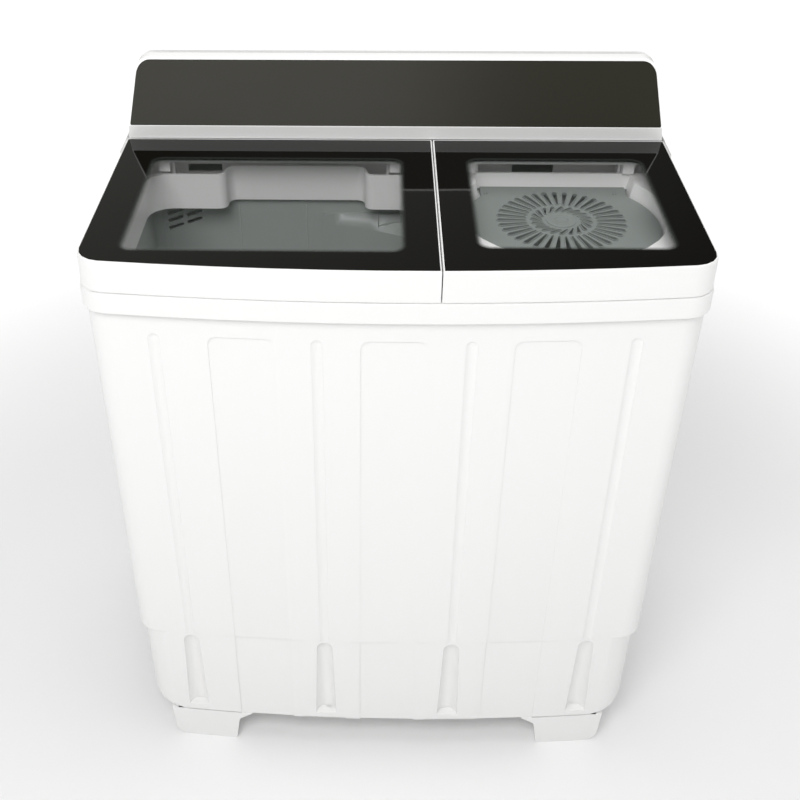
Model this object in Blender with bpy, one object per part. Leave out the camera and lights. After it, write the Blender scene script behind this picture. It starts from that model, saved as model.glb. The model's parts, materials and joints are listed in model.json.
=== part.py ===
"""Twin tub washer: a wash tub on the left and a spinner on the right under two glass lids.

Metres, +Z up, front towards -Y. The origin is on the floor, under the middle of the machine.
"""

import math

import bmesh
import bpy
from mathutils import Matrix, Vector

# --- Driving dimensions -------------------------------------------------------------------

GAP = 0.0003                 # between pieces that touch
WALL = 0.003                 # moulded plastic wall
BACK = 0.2455                # rear face of the machine
FRONT = -0.2455              # front of the lids, on the centre line
BOW = 0.145                  # fronts curve back by BOW * x * x

BAND_HALF = 0.4055           # half widths, from the top of the machine down
LID_HALF = 0.4025
CABINET_HALF = 0.4015
BASE_HALF = 0.3942

FOOT_HEIGHT = 0.0652
BASE_BOTTOM = 0.0655
BASE_TOP = 0.2532
CABINET_BOTTOM = 0.2535
CABINET_TOP = 0.8610
BAND_BOTTOM = 0.8457
BAND_TOP = 0.8758
DECK = 0.8880                # top of the collars round the two openings
SKIRT_BOTTOM = 0.8766        # lower edge of the lids' skirts
GLASS_TOP = 0.9205
GLASS_THICK = 0.0042
CABINET_FRONT = -0.2364
BASE_FRONT = -0.2325
CABINET_BACK = 0.2408

LID_SPLIT = 0.0572           # x of the gap between the lids
LID_GAP = 0.0016
LID_BACK = 0.1600
HINGE_Y, HINGE_Z = 0.1300, 0.8960
PIN_RADIUS = 0.0024
WASH_LUGS = (-0.3404, 0.0016)
SPIN_LUGS = (0.1120, 0.3445)
LUG_WIDTH = 0.016
WASH_WINDOW = (-0.372, 0.030, -0.208, 0.1045)
SPIN_WINDOW = (0.086, 0.374, -0.205, 0.1045)

FLUTES = (-0.3134, -0.1001, 0.1001, 0.3134)
FLUTE_HALF, FLUTE_DEPTH, FLUTE_TOP = 0.0087, 0.0040, 0.8150
PANELS = (-0.1985, 0.0, 0.1985)
PANEL_HALF, PANEL_DEPTH, PANEL_TOP = 0.0435, 0.0022, 0.8135

WASH_RIGHT, WASH_LEFT, WASH_FRONT = 0.040, -0.367, -0.2155
COLLAR_BACK, COLLAR_STEP_BACK = 0.1035, 0.1355
STEP_LEFT, STEP_RIGHT = -0.250, -0.043
TUB_TOP, TUB_BOTTOM = 0.8450, 0.3830
TUB_BACK, TUB_DRAFT = 0.1455, 0.004
PULSATOR_X, PULSATOR_Y, PULSATOR_R = -0.1640, -0.0270, 0.1500

SPIN_X, SPIN_Y = 0.2350, -0.0080
INNER_LID_R, INNER_LID_TOP = 0.1380, 0.8680
INNER_LID_BACK, INNER_LID_BACK_HALF = 0.1110, 0.1070
INNER_HINGE = (0.1075, 0.8655)
SEAT_TOP = 0.8595
POCKET_ROOM = 0.0025
SPIN_TUB_R, SPIN_TUB_TOP, SPIN_TUB_BOTTOM = 0.1500, 0.8450, 0.4000
BASKET_R, BASKET_TOP, BASKET_BOTTOM = 0.1240, 0.8150, 0.4200

TROUGH_FRONT, TROUGH_BACK, TROUGH_FLOOR = 0.1185, 0.1775, 0.8535
STRIP_TOP = 0.9400           # top of the plain strip under the fascia
VALVE_X = -0.2600
HOUSING_BOTTOM = 0.9210
HOUSING_TOP = 1.0280
FASCIA_LEAN = math.radians(30)

GEARBOX_TOP = 0.3825
MOTOR_X, MOTOR_Y = -0.0230, 0.1150
BELT_Z = 0.2625
DRAIN_X, DRAIN_Y = -0.3250, 0.0900
DRAIN_PORT = (-0.3300, 0.1600)
GEARBOX_PULLEY_R, MOTOR_PULLEY_R = 0.0750, 0.0250

# --- Materials ------------------------------------------------------------------------------


def material(name, colour, roughness, metallic=0.0):
    made = bpy.data.materials.new(name)
    made.use_nodes = True
    shader = made.node_tree.nodes["Principled BSDF"]
    shader.inputs["Base Color"].default_value = (*colour, 1.0)
    shader.inputs["Roughness"].default_value = roughness
    shader.inputs["Metallic"].default_value = metallic
    return made


for old in list(bpy.data.objects):
    bpy.data.objects.remove(old)

WHITE = material("white_abs", (0.90, 0.90, 0.89), 0.30)
WHITE_PP = material("white_polypropylene", (0.80, 0.82, 0.81), 0.40)
GREY_PP = material("grey_tub_polypropylene", (0.45, 0.48, 0.46), 0.40)
DARK_GLASS = material("printed_glass", (0.015, 0.014, 0.012), 0.05)
FASCIA = material("fascia_acrylic", (0.060, 0.060, 0.050), 0.25)
CLEAR_GREY = material("translucent_grey_plastic", (0.50, 0.53, 0.51), 0.30)
BLACK = material("black_plastic", (0.02, 0.02, 0.02), 0.45)
RUBBER = material("black_rubber", (0.015, 0.015, 0.015), 0.80)
STEEL = material("zinc_plated_steel", (0.55, 0.56, 0.58), 0.35, 1.0)
ALUMINIUM = material("cast_aluminium", (0.60, 0.61, 0.62), 0.50, 1.0)
BOARD = material("circuit_board", (0.03, 0.16, 0.07), 0.50)

# --- Outlines and solids ----------------------------------------------------------------------


def filleted(corners, steps=4):
    """A closed outline through (x, y, radius) corners, each rounded by a tangent arc."""
    points = []
    count = len(corners)
    for i, (x, y, radius) in enumerate(corners):
        here = Vector((x, y))
        before = (Vector(corners[i - 1][:2]) - here).normalized()
        after = (Vector(corners[(i + 1) % count][:2]) - here).normalized()
        if radius <= 0:
            points.append((x, y))
            continue
        half = before.angle(after) / 2
        centre = here + (before + after).normalized() * (radius / math.sin(half))
        start = here + before * (radius / math.tan(half)) - centre
        end = here + after * (radius / math.tan(half)) - centre
        turn = start.angle_signed(end)
        for step in range(steps + 1):
            angle = -turn * step / steps
            arm = Vector((
                start.x * math.cos(angle) - start.y * math.sin(angle),
                start.x * math.sin(angle) + start.y * math.cos(angle),
            ))
            points.append(tuple(centre + arm))
    return points


def grown(corners, by):
    """The same corners, with every side moved outwards by a distance."""
    result = []
    count = len(corners)
    for i, (x, y, radius) in enumerate(corners):
        here = Vector((x, y))
        into = (here - Vector(corners[i - 1][:2])).normalized()
        out = (Vector(corners[(i + 1) % count][:2]) - here).normalized()
        convex = into.x * out.y - into.y * out.x > 0
        shift = Vector((into.y + out.y, -into.x - out.x)) * by / (1 + into.dot(out))
        if radius:
            radius = max(radius + (by if convex else -by), 0.001)
        result.append((x + shift.x, y + shift.y, radius))
    return result


def rectangle(x0, x1, y0, y1, radius=0.0):
    return [(x0, y0, radius), (x1, y0, radius), (x1, y1, radius), (x0, y1, radius)]


def bowed(half, front, back, corner=0.035, right=None, steps=4, rear=0.006):
    """A plan outline with a bowed front. With right set, it ends there in a straight edge."""
    slope = math.atan(2 * BOW * (half - corner))
    x_end = half - corner + corner * math.sin(slope)
    y_centre = front + BOW * x_end * x_end + corner * math.cos(slope)
    left = [
        (
            -(half - corner) - corner * math.cos(turn),
            y_centre - corner * math.sin(turn),
        )
        for turn in (((math.pi / 2 - slope) * i / steps) for i in range(steps + 1))
    ]
    stop = x_end if right is None else right
    spans = 10 if right is None else 6
    middle = []
    for i in range(1, spans + (0 if right is None else 1)):
        x = -x_end + (x_end + stop) * i / spans
        middle.append((x, front + BOW * x * x))
    if right is None:
        ends = [(-x, y) for x, y in reversed(left)]
        rear_right = [(half, back - rear), (half - rear, back)]
    else:
        ends = []
        rear_right = [(right, back)]
    return [(-half + rear, back), (-half, back - rear), *left, *middle, *ends, *rear_right]


def mirrored(outline):
    return [(-x, y) for x, y in reversed(outline)]


def finish(bm, name, look):
    bmesh.ops.recalc_face_normals(bm, faces=bm.faces)
    mesh = bpy.data.meshes.new(name)
    bm.to_mesh(mesh)
    bm.free()
    mesh.materials.append(look)
    mesh.shade_smooth()
    mesh.set_sharp_from_angle(angle=math.radians(35))
    made = bpy.data.objects.new(name, mesh)
    bpy.context.scene.collection.objects.link(made)
    return made


def loft(name, levels, look=WHITE, axis="Z"):
    """A closed solid through outlines of equal length, each (height, outline), bottom first.

    axis Z reads an outline as x, y; axis Y reads it as x, z; axis X reads it as y, z.
    """
    bm = bmesh.new()
    place = {
        "Z": lambda a, b, h: (a, b, h),
        "Y": lambda a, b, h: (a, h, b),
        "X": lambda a, b, h: (h, a, b),
    }[axis]
    rings = [[bm.verts.new(place(a, b, h)) for a, b in outline] for h, outline in levels]
    bm.faces.new(rings[0])
    bm.faces.new(rings[-1])
    for low, high in zip(rings, rings[1:]):
        for i in range(len(low)):
            bm.faces.new((low[i - 1], low[i], high[i], high[i - 1]))
    return finish(bm, name, look)


def prism(name, outline, low, high, look=WHITE, axis="Z"):
    return loft(name, [(low, outline), (high, outline)], look, axis)


def block(name, x0, x1, y0, y1, z0, z1, look=WHITE, radius=0.0, axis="Z"):
    spans = {"Z": (x0, x1, y0, y1, z0, z1), "Y": (x0, x1, z0, z1, y0, y1), "X": (y0, y1, z0, z1, x0, x1)}
    a0, a1, b0, b1, low, high = spans[axis]
    return prism(name, filleted(rectangle(a0, a1, b0, b1, radius), 4), low, high, look, axis)


def turned(name, profile, x=0.0, y=0.0, look=WHITE, steps=32, axis="Z"):
    """Spins a closed (radius, height) profile about an axis through x, y (or y, z for X)."""
    bm = bmesh.new()
    verts = [bm.verts.new((radius, 0.0, height)) for radius, height in profile]
    edges = [bm.edges.new((verts[i - 1], verts[i])) for i in range(len(verts))]
    bmesh.ops.spin(
        bm, geom=verts + edges, cent=(0, 0, 0), axis=(0, 0, 1), angle=2 * math.pi,
        steps=steps, use_merge=True,
    )
    bmesh.ops.remove_doubles(bm, verts=bm.verts, dist=1e-6)
    on_axis = [e for e in bm.edges if all(v.co.xy.length < 1e-6 for v in e.verts)]
    bmesh.ops.delete(bm, geom=on_axis, context="EDGES")
    if axis == "X":
        bm.transform(Matrix.Rotation(math.pi / 2, 4, "Y"))
        bm.transform(Matrix.Translation((0.0, x, y)))
    elif axis == "Y":
        bm.transform(Matrix.Rotation(-math.pi / 2, 4, "X"))
        bm.transform(Matrix.Translation((x, 0.0, y)))
    else:
        bm.transform(Matrix.Translation((x, y, 0.0)))
    return finish(bm, name, look)


def boolean(target, operation, others):
    for other in others:
        step = target.modifiers.new(other.name, "BOOLEAN")
        step.operation = operation
        step.object = other
        step.solver = "EXACT"
        other.hide_render = True
        other.display_type = "WIRE"
    return target


def cut(target, *cutters):
    return boolean(target, "DIFFERENCE", cutters)


def join(target, *others):
    return boolean(target, "UNION", others)


def common(target, other):
    return boolean(target, "INTERSECT", (other,))


def hinged_at(made, x, y, z):
    """Moves the origin onto a joint's axis and leaves the shape where it is."""
    made.data.transform(Matrix.Translation((-x, -y, -z)))
    made.location = (x, y, z)
    return made


def front_at(x, front):
    return front + BOW * x * x


# --- Grooves down the front -----------------------------------------------------------------


def flute_cutter(name, x, front, low, top, half, depth, extra=0.0, low_half=None):
    """A round-topped upright groove: part of a cylinder sunk by depth into the bowed front."""
    low_half = half if low_half is None else low_half
    radius = (half * half + depth * depth) / (2 * depth)
    inset = radius - depth
    shell = radius + extra
    low_radius = radius * low_half / half + extra
    head = top - math.sqrt(max(radius * radius - inset * inset, 0.0))
    profile = [(0.0, low), (low_radius, low), (shell, head)]
    for i in range(1, 5):
        angle = math.pi / 2 * i / 5
        profile.append((shell * math.cos(angle), head + shell * math.sin(angle)))
    profile.append((0.0, head + shell))
    return turned(name, profile, x, front_at(x, front) - inset, steps=20)


def panel_cutter(name, x, front, low, top, half, depth, extra=0.0):
    """A wide flat recess with round upper corners, turned to follow the bowed front."""
    corners = [(-half - extra, low, 0), (half + extra, low, 0),
               (half + extra, top + extra, 0.012), (-half - extra, top + extra, 0.012)]
    made = prism(name, filleted(corners, 3), -0.02, depth + extra, axis="Y")
    made.data.transform(Matrix.Rotation(math.atan(2 * BOW * x), 4, "Z"))
    made.data.transform(Matrix.Translation((x, front_at(x, front), 0.0)))
    return made


# --- Base, feet and cabinet -----------------------------------------------------------------


def base():
    levels = [
        (BASE_BOTTOM, bowed(0.3730, BASE_FRONT, 0.236, 0.045)),
        (0.0690, bowed(0.3830, BASE_FRONT, 0.238, 0.045)),
        (0.0770, bowed(0.3895, BASE_FRONT, 0.240, 0.045)),
        (0.0920, bowed(0.3930, BASE_FRONT, 0.240, 0.045)),
        (BASE_TOP, bowed(BASE_HALF, BASE_FRONT, 0.240, 0.045)),
    ]
    made = loft("base", levels, WHITE)
    inner = loft("base_inner", [
        (0.0695, bowed(0.3860, BASE_FRONT + WALL, 0.237, 0.043)),
        (0.0920, bowed(0.3900, BASE_FRONT + WALL, 0.237, 0.043)),
        (0.3000, bowed(BASE_HALF - WALL, BASE_FRONT + WALL, 0.237, 0.042)),
    ])
    for i, x in enumerate(FLUTES):
        cutter = flute_cutter(f"base_pocket_{i}", x, BASE_FRONT, 0.0780, 0.2470, 0.0125, 0.0124, 0.0, 0.0170)
        bump = flute_cutter(f"base_bump_{i}", x, BASE_FRONT, 0.0600, 0.2470, 0.0125, 0.0124, WALL, 0.0170)
        cut(made, cutter)
        cut(inner, bump)
    for i, x in enumerate(PANELS):
        low = BASE_BOTTOM - 0.02
        cutter = panel_cutter(f"base_panel_{i}", x, BASE_FRONT, low, 0.32, PANEL_HALF + 0.001, PANEL_DEPTH)
        bump = panel_cutter(f"base_ridge_{i}", x, BASE_FRONT, low, 0.32, PANEL_HALF + 0.001, PANEL_DEPTH, WALL)
        cut(made, cutter)
        cut(inner, bump)
    port = turned("drain_port_hole", [(0.0, 0.22), (0.0148, 0.22), (0.0148, 0.26), (0.0, 0.26)], *DRAIN_PORT, axis="Y", steps=20)
    return cut(made, inner, port)


def foot(name, side, end):
    """A bracket foot. side is -1 left or 1 right; end is -1 front or 1 rear."""
    corners = [
        (0.2545, 0.0, 0.004), (0.3560, 0.0, 0.018), (0.3610, FOOT_HEIGHT, 0.0),
        (0.2245, FOOT_HEIGHT, 0.0), (0.2470, 0.0500, 0.012),
    ]
    depth = 0.075
    y_front = -0.2180 if end < 0 else 0.2280 - depth
    outline = filleted(corners, 3)
    room = filleted([(0.2640, 0.0060, 0.003), (0.3470, 0.0060, 0.010), (0.3520, 0.08, 0), (0.2590, 0.08, 0)], 4)
    if side < 0:
        outline = mirrored(outline)
        room = mirrored(room)
    made = prism(name, outline, y_front - (0.02 if end < 0 else 0.0), y_front + depth, WHITE, "Y")
    common(made, prism(name + "_bow", bowed(BASE_HALF + 0.02, BASE_FRONT + 0.0002, 0.30, 0.02), -0.01, 0.10))
    hollow = prism(name + "_room", room, y_front + 0.004, y_front + depth - 0.004, WHITE, "Y")
    return cut(made, hollow)


def cabinet():
    made = loft("cabinet", [
        (CABINET_BOTTOM, bowed(CABINET_HALF - 0.002, CABINET_FRONT + 0.001, CABINET_BACK)),
        (CABINET_TOP, bowed(CABINET_HALF, CABINET_FRONT, CABINET_BACK)),
    ], WHITE)
    lip = bowed(CABINET_HALF - 0.016, CABINET_FRONT + 0.016, CABINET_BACK - 0.016, 0.032)
    inner = loft("cabinet_inner", [
        (CABINET_BOTTOM - 0.02, lip),
        (CABINET_BOTTOM + 0.0025, lip),
        (CABINET_BOTTOM + 0.0026, bowed(CABINET_HALF - 0.002 - WALL, CABINET_FRONT + 0.001 + WALL, CABINET_BACK - WALL, 0.032)),
        (CABINET_TOP + 0.02, bowed(CABINET_HALF - WALL, CABINET_FRONT + WALL, CABINET_BACK - WALL, 0.032)),
    ])
    low = CABINET_BOTTOM - 0.04
    for i, x in enumerate(FLUTES):
        cut(made, flute_cutter(f"flute_{i}", x, CABINET_FRONT, low, FLUTE_TOP, FLUTE_HALF, FLUTE_DEPTH))
        cut(inner, flute_cutter(f"flute_bump_{i}", x, CABINET_FRONT, low, FLUTE_TOP, FLUTE_HALF, FLUTE_DEPTH, WALL))
    for i, x in enumerate(PANELS):
        cut(made, panel_cutter(f"panel_{i}", x, CABINET_FRONT, low, PANEL_TOP, PANEL_HALF, PANEL_DEPTH))
        cut(inner, panel_cutter(f"panel_bump_{i}", x, CABINET_FRONT, low, PANEL_TOP, PANEL_HALF, PANEL_DEPTH, WALL))
    opening = block("service_opening", -0.340, 0.340, 0.20, 0.30, 0.300, 0.800, radius=0.012, axis="Y")
    return cut(made, inner, opening, *screw_holes("cabinet"))


COVER_SCREWS = ((-0.346, 0.296), (0.346, 0.296), (-0.346, 0.804), (0.346, 0.804))


def screw_holes(name):
    profile = [(0.0, 0.23), (0.0023, 0.23), (0.0023, 0.26), (0.0, 0.26)]
    return [turned(f"{name}_screw_hole_{i}", profile, x, z, axis="Y", steps=8) for i, (x, z) in enumerate(COVER_SCREWS)]


def rear_cover():
    """The service cover over the opening in the cabinet's back, pressed out in five broad ribs."""
    made = block("rear_cover", -0.352, 0.352, CABINET_BACK + GAP, CABINET_BACK + 0.0020, 0.288, 0.812, WHITE, 0.016, "Y")
    holes = []
    for i, z in enumerate((0.40, 0.42, 0.44, 0.46, 0.48)):
        for side in (-1, 1):
            x = side * 0.20
            holes.append(block(f"vent_{i}_{side}", x - 0.06, x + 0.06, 0.23, 0.26, z - 0.003, z + 0.003,
                               axis="Y"))
    gland = turned("gland_hole", [(0.0, 0.23), (0.0110, 0.23), (0.0110, 0.26), (0.0, 0.26)], 0.300, 0.330,
                   axis="Y", steps=20)
    return cut(made, *holes, gland, *screw_holes("cover"))


def screw(name, x, y, z, radius=0.0040):
    """A pan head screw in the machine's back, its shank in the sheet behind it."""
    profile = [(0.0, 0.0), (radius * 0.5, 0.0), (radius * 0.5, 0.0070), (radius, 0.0070),
               (radius, 0.0084), (radius * 0.7, 0.0092), (0.0, 0.0092)]
    return turned(name, [(r, h + y) for r, h in profile], x, z, STEEL, 8, "Y")


# --- Top cover ------------------------------------------------------------------------------


def bowed_rectangle(x0, x1, front, back, radius, rear_radius):
    """Corners of a rounded rectangle whose front edge is bowed like the machine's."""
    between = [(x0 + (x1 - x0) * share, 0.0) for share in (0.22, 0.36, 0.50, 0.64, 0.78)]
    edge = [(x, front_at(x, front), 0.0) for x, _ in between]
    return [(x0, front_at(x0, front), radius), *edge, (x1, front_at(x1, front), radius),
            (x1, back, rear_radius), (x0, back, rear_radius)]


def wash_opening():
    corners = bowed_rectangle(WASH_LEFT, WASH_RIGHT, WASH_FRONT, COLLAR_BACK, 0.05, 0.035)
    step = [(STEP_RIGHT, COLLAR_BACK, 0.013), (STEP_RIGHT, COLLAR_STEP_BACK, 0.013),
            (STEP_LEFT, COLLAR_STEP_BACK, 0.013), (STEP_LEFT, COLLAR_BACK, 0.013)]
    return corners[:-1] + step + corners[-1:]


def trough_corners():
    """The channel behind the collars, where the lids' rear edges swing down."""
    near = COLLAR_BACK + WALL
    return [(-0.4040, near, 0.002), (STEP_LEFT - WALL, near, 0.010), (STEP_LEFT - WALL, COLLAR_STEP_BACK + WALL, 0.016),
            (STEP_RIGHT + WALL, COLLAR_STEP_BACK + WALL, 0.016), (STEP_RIGHT + WALL, near, 0.010), (0.0560, near, 0.003),
            (0.0560, TROUGH_FRONT, 0.003), (0.4040, TROUGH_FRONT, 0.002), (0.4040, TROUGH_BACK, 0.002),
            (-0.4040, TROUGH_BACK, 0.002)]


def inner_lid_outline(by=0.0, back_by=None):
    """A disc with a wider straight rear edge, where it hinges."""
    radius = INNER_LID_R + by
    half = INNER_LID_BACK_HALF + by
    back = INNER_LID_BACK + (by if back_by is None else back_by)
    meet = math.acos(half / radius)
    points = [(SPIN_X + half, back), (SPIN_X - half, back)]
    start, end = math.pi - meet, 2 * math.pi + meet
    steps = 24
    for i in range(steps + 1):
        turn = start + (end - start) * i / steps
        points.append((SPIN_X + radius * math.cos(turn), SPIN_Y + radius * math.sin(turn)))
    return points


def hinge_ear(name, x):
    corners = [(HINGE_Y - 0.008, 0.8520, 0), (HINGE_Y + 0.008, 0.8520, 0),
               (HINGE_Y + 0.008, HINGE_Z + 0.008, 0.0079), (HINGE_Y - 0.008, HINGE_Z + 0.008, 0.0079)]
    return prism(name, filleted(corners, 4), x, x + 0.004, WHITE, "X")


def top_cover():
    rear_block = prism("rear_block", filleted(rectangle(-BAND_HALF + GAP, BAND_HALF - GAP, 0.1080, BACK - GAP, 0.004), 3),
                       BAND_BOTTOM + 0.003, GLASS_TOP)
    upper = loft("deck_block", [
        (BAND_BOTTOM - 0.0130, bowed(0.3978, CABINET_FRONT + 0.0045, 0.2370, 0.030)),
        (DECK - 0.003, bowed(0.3978, CABINET_FRONT + 0.0045, 0.2370, 0.030)),
        (DECK, bowed(0.3960, CABINET_FRONT + 0.0063, 0.2352, 0.030)),
    ])
    made = loft("top_cover", [
        (BAND_BOTTOM, bowed(BAND_HALF, FRONT + 0.0005, BACK, 0.037)),
        (BAND_TOP - 0.002, bowed(BAND_HALF, FRONT + 0.0005, BACK, 0.037)),
        (BAND_TOP, bowed(BAND_HALF - 0.0015, FRONT + 0.002, BACK - 0.001, 0.037)),
    ], WHITE)
    join(made, upper, rear_block)
    channel = prism("cabinet_channel", bowed(BAND_HALF - WALL, FRONT + 0.0005 + WALL, BACK - WALL, 0.034), 0.82, BAND_TOP - 0.0055)
    cut(channel, prism("channel_core", bowed(0.3978, CABINET_FRONT + 0.0045, 0.2370, 0.030), 0.80, 0.90))
    wash = wash_opening()
    wash_grown = prism("wash_collar", filleted(grown(wash, WALL), 4), 0.80, DECK + 0.001)
    spin_collar = turned("spin_collar", [(0.0, 0.80), (0.1310, 0.80), (0.1310, 0.87), (0.0, 0.87)], SPIN_X, SPIN_Y, steps=28)
    trough = prism("trough", filleted(trough_corners(), 2), TROUGH_FLOOR, 0.96)
    open_wash = prism("wash_hole", filleted(wash, 4), 0.79, 0.96)
    flare = POCKET_ROOM + 0.0055
    pocket = loft("spin_pocket", [
        (SEAT_TOP, inner_lid_outline(POCKET_ROOM)), (DECK, inner_lid_outline(flare, POCKET_ROOM + 0.0008)),
        (0.96, inner_lid_outline(flare, POCKET_ROOM + 0.0008)),
    ])
    hole = turned("spin_hole", [(0.0, 0.79), (0.1280, 0.79), (0.1280, 0.90), (0.0, 0.90)], SPIN_X, SPIN_Y, steps=28)
    common(hole, prism("spin_hole_limit", inner_lid_outline(-0.0040), 0.78, 0.91))
    under = prism("under_room", bowed(0.3948, CABINET_FRONT + 0.0075, 0.2340, 0.028), 0.81, DECK - WALL)
    trough_wall = prism("trough_wall", filleted(grown(trough_corners(), WALL - 0.0001), 2), TROUGH_FLOOR - WALL, 0.95)
    pocket_wall = loft("pocket_wall", [
        (SEAT_TOP - WALL, inner_lid_outline(POCKET_ROOM + WALL)),
        (0.94, inner_lid_outline(flare + WALL + 0.0080, POCKET_ROOM + WALL)),
    ])
    cut(under, wash_grown, spin_collar, pocket_wall, trough_wall)
    ledge = block("ledge_room", -0.3920, 0.3920, TROUGH_BACK + WALL, 0.2330, 0.815, GLASS_TOP - WALL)
    mouths = [
        block("wash_mouth", -0.3174, -0.2647, 0.16, 0.20, 0.8600, 0.8720),
        block("spin_mouth", 0.1820, 0.2450, 0.16, 0.20, 0.8600, 0.8740),
    ]
    front_step = block("front_step", -0.4040, 0.4040, 0.09, 0.1500, DECK, 0.96)
    cut(made, channel, under, trough, front_step, open_wash, pocket, hole, ledge, *mouths)
    for name, lugs in (("wash", WASH_LUGS), ("spin", SPIN_LUGS)):
        for i, x in enumerate(lugs):
            half = LUG_WIDTH / 2 + 0.0008
            for side, start in (("a", x - half - 0.004), ("b", x + half)):
                join(made, hinge_ear(f"{name}_ear_{i}{side}", start))
            bore = turned(f"{name}_ear_bore_{i}", [(0.0, x - 0.03), (PIN_RADIUS + GAP, x - 0.03),
                                                  (PIN_RADIUS + GAP, x + 0.03), (0.0, x + 0.03)],
                          HINGE_Y, HINGE_Z, steps=16, axis="X")
            cut(made, bore)
    inner_y, inner_z = INNER_HINGE
    for side in (-1, 1):
        x = SPIN_X + side * 0.1010
        cut(made, turned(f"inner_hinge_bore_{side}", [(0.0, x - 0.012), (0.0021, x - 0.012), (0.0021, x + 0.012), (0.0, x + 0.012)],
                         inner_y, inner_z, steps=12, axis="X"))
    return made


# --- Lids -----------------------------------------------------------------------------------


def lid_outline(side, inset, draft=0.0):
    """One lid's plan. side -1 is the wash lid and 1 the spin lid."""
    gap = LID_SPLIT * -side
    right = gap - LID_GAP / 2 - inset
    outline = bowed(LID_HALF - inset + draft, FRONT + inset + 0.001 - draft / 2, LID_BACK - inset,
                    0.036 - inset, right, rear=0.002)
    return outline if side < 0 else mirrored(outline)


def lid_frame(name, side, window, lugs):
    made = loft(name, [
        (SKIRT_BOTTOM, lid_outline(side, 0.0, 0.0008)),
        (GLASS_TOP - 0.002, lid_outline(side, 0.0, 0.0004)),
        (GLASS_TOP, lid_outline(side, 0.0008)),
    ], WHITE)
    recess = prism(name + "_recess", lid_outline(side, 0.0018), GLASS_TOP - GLASS_THICK - GAP, 0.95)
    room = prism(name + "_room", lid_outline(side, 0.0026, 0.0004), 0.86, 0.9132)
    rear = block(name + "_rear", -0.42, 0.42, 0.1040, 0.20, 0.86, 0.9131)
    x0, x1, y0, y1 = window
    hole = prism(name + "_window", filleted(rectangle(x0, x1, y0, y1, 0.018), 4), 0.90, 0.95)
    split = block(name + "_split", LID_SPLIT - 0.03, LID_SPLIT + 0.03, -0.2358, 0.20, 0.86, DECK + 0.0015)
    cut(made, recess, room, rear, hole, split)
    beam = block(name + "_beam", x0 - 0.006, x1 + 0.006, 0.1060, 0.1150, 0.9062, 0.9140)
    join(made, beam)
    for i, x in enumerate(lugs):
        corners = [(0.1070, 0.9140, 0), (0.1070, HINGE_Z - 0.0070, 0.004), (HINGE_Y, HINGE_Z - 0.0070, 0.0),
                   (HINGE_Y + 0.0070, HINGE_Z - 0.0070, 0.0069), (HINGE_Y + 0.0070, 0.9140, 0)]
        lug = prism(f"{name}_lug_{i}", filleted(corners, 3), x - LUG_WIDTH / 2, x + LUG_WIDTH / 2, WHITE, "X")
        bore = turned(f"{name}_bore_{i}", [(0.0, x - 0.02), (PIN_RADIUS + GAP, x - 0.02),
                                           (PIN_RADIUS + GAP, x + 0.02), (0.0, x + 0.02)],
                      HINGE_Y, HINGE_Z, steps=16, axis="X")
        join(made, lug)
        cut(made, bore)
    return hinged_at(made, 0.0, HINGE_Y, HINGE_Z)


def lid_glass(name, side):
    made = loft(name, [
        (GLASS_TOP - GLASS_THICK, lid_outline(side, 0.0022)),
        (GLASS_TOP - 0.0005, lid_outline(side, 0.0022)),
        (GLASS_TOP, lid_outline(side, 0.0027)),
    ], DARK_GLASS)
    return hinged_at(made, 0.0, HINGE_Y, HINGE_Z)


def hinge_pin(name, x):
    half = LUG_WIDTH / 2 + 0.0060
    profile = [(0.0, x - half), (PIN_RADIUS, x - half), (PIN_RADIUS, x + half), (0.0, x + half)]
    return turned(name, profile, HINGE_Y, HINGE_Z, STEEL, 16, "X")


def inner_lid():
    """The spinner's safety lid: a shallow dish with a rim, its grille cut through the middle."""
    made = prism("inner_lid", inner_lid_outline(), INNER_LID_TOP - 0.0070, INNER_LID_TOP, CLEAR_GREY)
    under = prism("inner_lid_room", inner_lid_outline(-0.0025), INNER_LID_TOP - 0.02, INNER_LID_TOP - 0.0028)
    cut(made, under)
    slots = 12
    for i in range(slots):
        turn = Matrix.Rotation(2 * math.pi * i / slots, 4, "Z")
        slot = block(f"grille_{i}", 0.0500, 0.0900, -0.0030, 0.0030, 0.85, 0.88)
        slot.data.transform(Matrix.Translation((SPIN_X, SPIN_Y, 0)) @ turn)
        cut(made, slot)
    inner_y, inner_z = INNER_HINGE
    knuckle = block("inner_knuckle", SPIN_X - 0.1060, SPIN_X + 0.1060, inner_y - 0.0030, inner_y + 0.0030,
                    inner_z - 0.0030, INNER_LID_TOP - 0.001)
    ends = [(0.0, SPIN_X - 0.1118), (0.0017, SPIN_X - 0.1118), (0.0017, SPIN_X + 0.1118), (0.0, SPIN_X + 0.1118)]
    pegs = turned("inner_pegs", ends, inner_y, inner_z, steps=12, axis="X")
    join(made, knuckle, pegs)
    return hinged_at(made, SPIN_X, inner_y, inner_z)


# --- Control panel --------------------------------------------------------------------------


def panel_face(inset, low):
    """The panel seen from the front: wider at its foot, with round upper corners."""
    foot_half = 0.4000 - inset
    top_half = 0.3870 - inset
    top = HOUSING_TOP - inset
    corners = [(-foot_half, low, 0.0), (foot_half, low, 0.0),
               (top_half, top, 0.024), (-top_half, top, 0.024)]
    return filleted(corners, 8)


def panel_side(inset, back, low):
    """The panel's side view: an upright strip, then a face that leans back."""
    run = (HOUSING_TOP - STRIP_TOP) * math.tan(FASCIA_LEAN)
    front = 0.1610 + inset
    top = HOUSING_TOP - inset
    top_front = front + run + inset * 0.3
    return [(front, low), (back, low), (back, 1.0120 - inset), (back - 0.014, top), (top_front, top),
            (front, STRIP_TOP + inset * 0.3)]


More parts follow.
